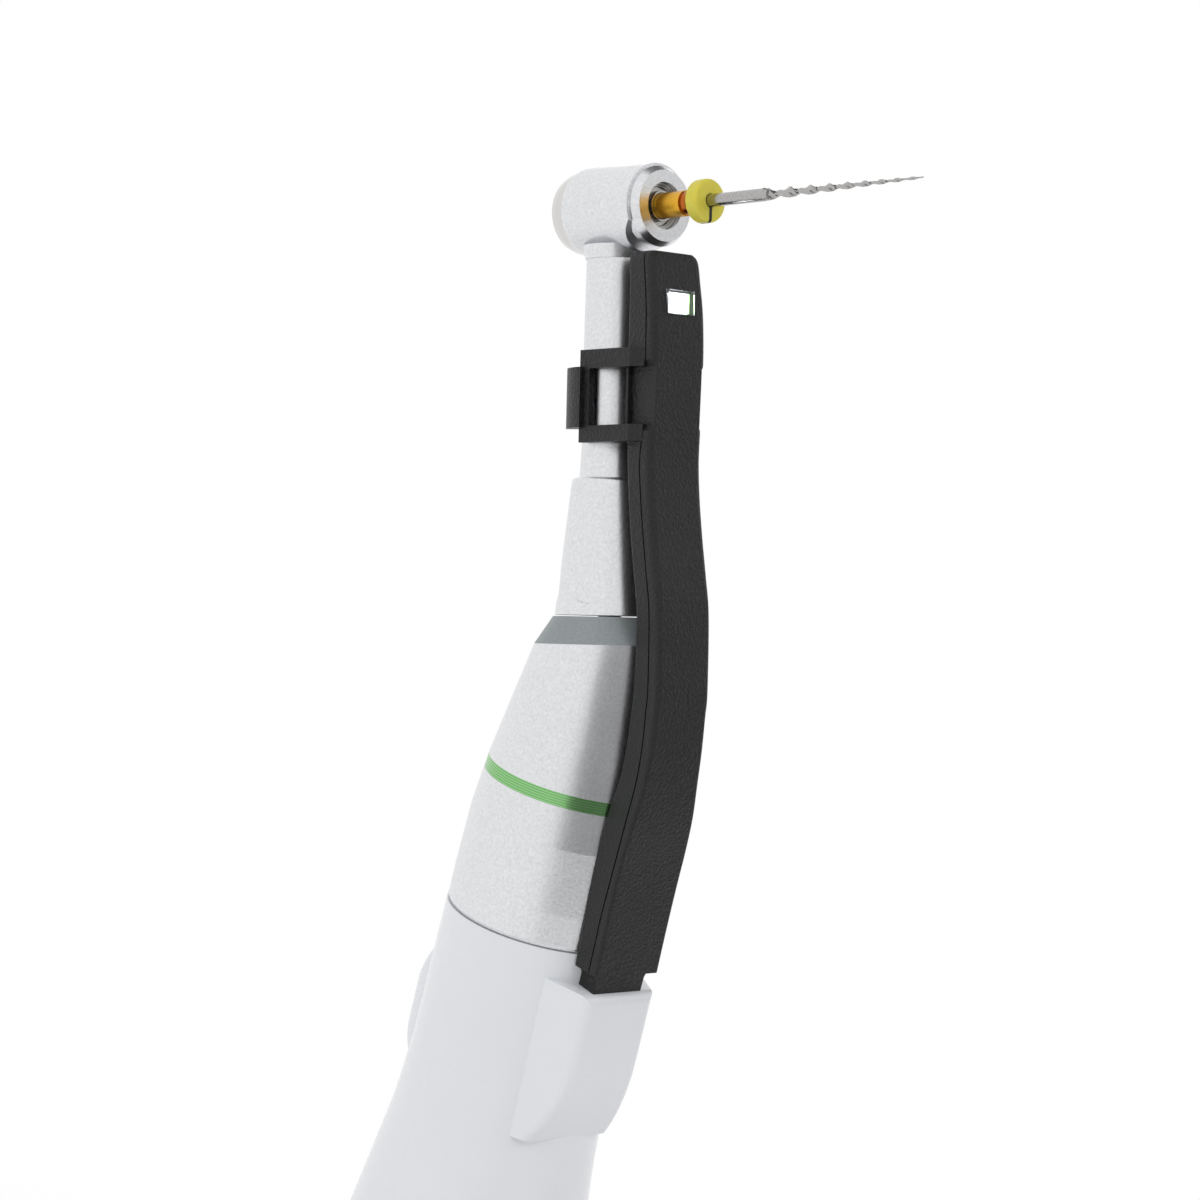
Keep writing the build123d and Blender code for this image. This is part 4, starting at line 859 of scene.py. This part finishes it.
clear_lens, tree, shader = finish("clear_moulded_polycarbonate", IOR=1.58, Transmission_Weight=1.0)
place = add_node(tree, "ShaderNodeTexCoord").outputs["Object"]
haze = add_node(tree, "ShaderNodeTexNoise", {"Vector": place, "Scale": 1 / (0.8 * MM), "Detail": 3.0})
wipe = add_node(tree, "ShaderNodeMapRange", {"Value": haze.outputs["Fac"], "To Min": 0.05, "To Max": 0.2})
tree.links.new(wipe.outputs[0], shader.inputs["Roughness"])
dress(clear_lens, "led_lens")

# File: a gilded brass shank, a copper-coloured band, and a ground wire of nickel-titanium.
# Grinding the flutes leaves fine marks across the wire and a bright edge.
gilded, tree, shader = finish("gilded_turned_brass", Metallic=0.85, Roughness=0.3)
place = add_node(tree, "ShaderNodeTexCoord").outputs["Object"]
grain = add_node(tree, "ShaderNodeTexNoise", {"Vector": place, "Scale": 1 / (0.3 * MM), "Detail": 4.0})
tone = add_node(
    tree,
    "ShaderNodeMix",
    {0: grain.outputs["Fac"], 6: linear("#DFA01F"), 7: linear("#F0BC45")},
    data_type="RGBA",
)
tree.links.new(tone.outputs[2], shader.inputs["Base Color"])
dress(gilded, "file_shank")

copper, tree, shader = finish("copper_coloured_band", Metallic=1.0)
place = add_node(tree, "ShaderNodeTexCoord").outputs["Object"]
grain = add_node(tree, "ShaderNodeTexNoise", {"Vector": place, "Scale": 1 / (0.25 * MM), "Detail": 4.0})
shine = add_node(tree, "ShaderNodeMapRange", {"Value": grain.outputs["Fac"], "To Min": 0.15, "To Max": 0.32})
shader.inputs["Base Color"].default_value = linear("#B4642A")
tree.links.new(shine.outputs[0], shader.inputs["Roughness"])
dress(copper, "file_band")

file_alloy, tree, shader = finish("ground_nickel_titanium", Metallic=1.0)
place = add_node(tree, "ShaderNodeTexCoord").outputs["Object"]
cuts = add_node(tree, "ShaderNodeTexNoise", {"Vector": place, "Scale": 1 / (0.12 * MM), "Detail": 3.0})
tone = add_node(
    tree,
    "ShaderNodeMix",
    {0: cuts.outputs["Fac"], 6: linear("#8F8D8C"), 7: linear("#C9C7C5")},
    data_type="RGBA",
)
shine = add_node(tree, "ShaderNodeMapRange", {"Value": cuts.outputs["Fac"], "To Min": 0.1, "To Max": 0.28})
tree.links.new(tone.outputs[2], shader.inputs["Base Color"])
tree.links.new(shine.outputs[0], shader.inputs["Roughness"])
dress(file_alloy, "file_blade")

# Stop: a small disc of soft yellow silicone, pushed on the wire to mark a depth.
# Moulded silicone is a little translucent and dull.
yellow_silicone, tree, shader = finish("yellow_silicone", Roughness=0.45, IOR=1.41, Subsurface_Weight=0.3)
shader.inputs["Subsurface Scale"].default_value = 0.4 * MM
place = add_node(tree, "ShaderNodeTexCoord").outputs["Object"]
mottle = add_node(tree, "ShaderNodeTexNoise", {"Vector": place, "Scale": 1 / (0.6 * MM), "Detail": 4.0})
tone = add_node(
    tree,
    "ShaderNodeMix",
    {0: mottle.outputs["Fac"], 6: linear("#C9BD3A"), 7: linear("#D9CF5C")},
    data_type="RGBA",
)
# A black line, printed on the disc from its middle down to its rim, marks its direction
mark_half = 0.17 * MM
mark_top = 188.2 * MM
along_neck = add_node(tree, "ShaderNodeVectorMath", {0: place, 1: upward}, operation="DOT_PRODUCT")
below = add_node(tree, "ShaderNodeMath", {0: along_neck.outputs["Value"], 1: mark_top}, operation="LESS_THAN")
across = add_node(tree, "ShaderNodeSeparateXYZ", {"Vector": place})
across = add_node(tree, "ShaderNodeMath", {0: across.outputs["Y"]}, operation="ABSOLUTE")
narrow = add_node(tree, "ShaderNodeMath", {0: across.outputs[0], 1: mark_half}, operation="LESS_THAN")
printed = add_node(tree, "ShaderNodeMath", {0: below.outputs[0], 1: narrow.outputs[0]}, operation="MULTIPLY")
marked = add_node(
    tree,
    "ShaderNodeMix",
    {0: printed.outputs[0], 6: tone.outputs[2], 7: linear("#1A1A18")},
    data_type="RGBA",
)
tree.links.new(marked.outputs[2], shader.inputs["Base Color"])
dress(yellow_silicone, "file_stop")
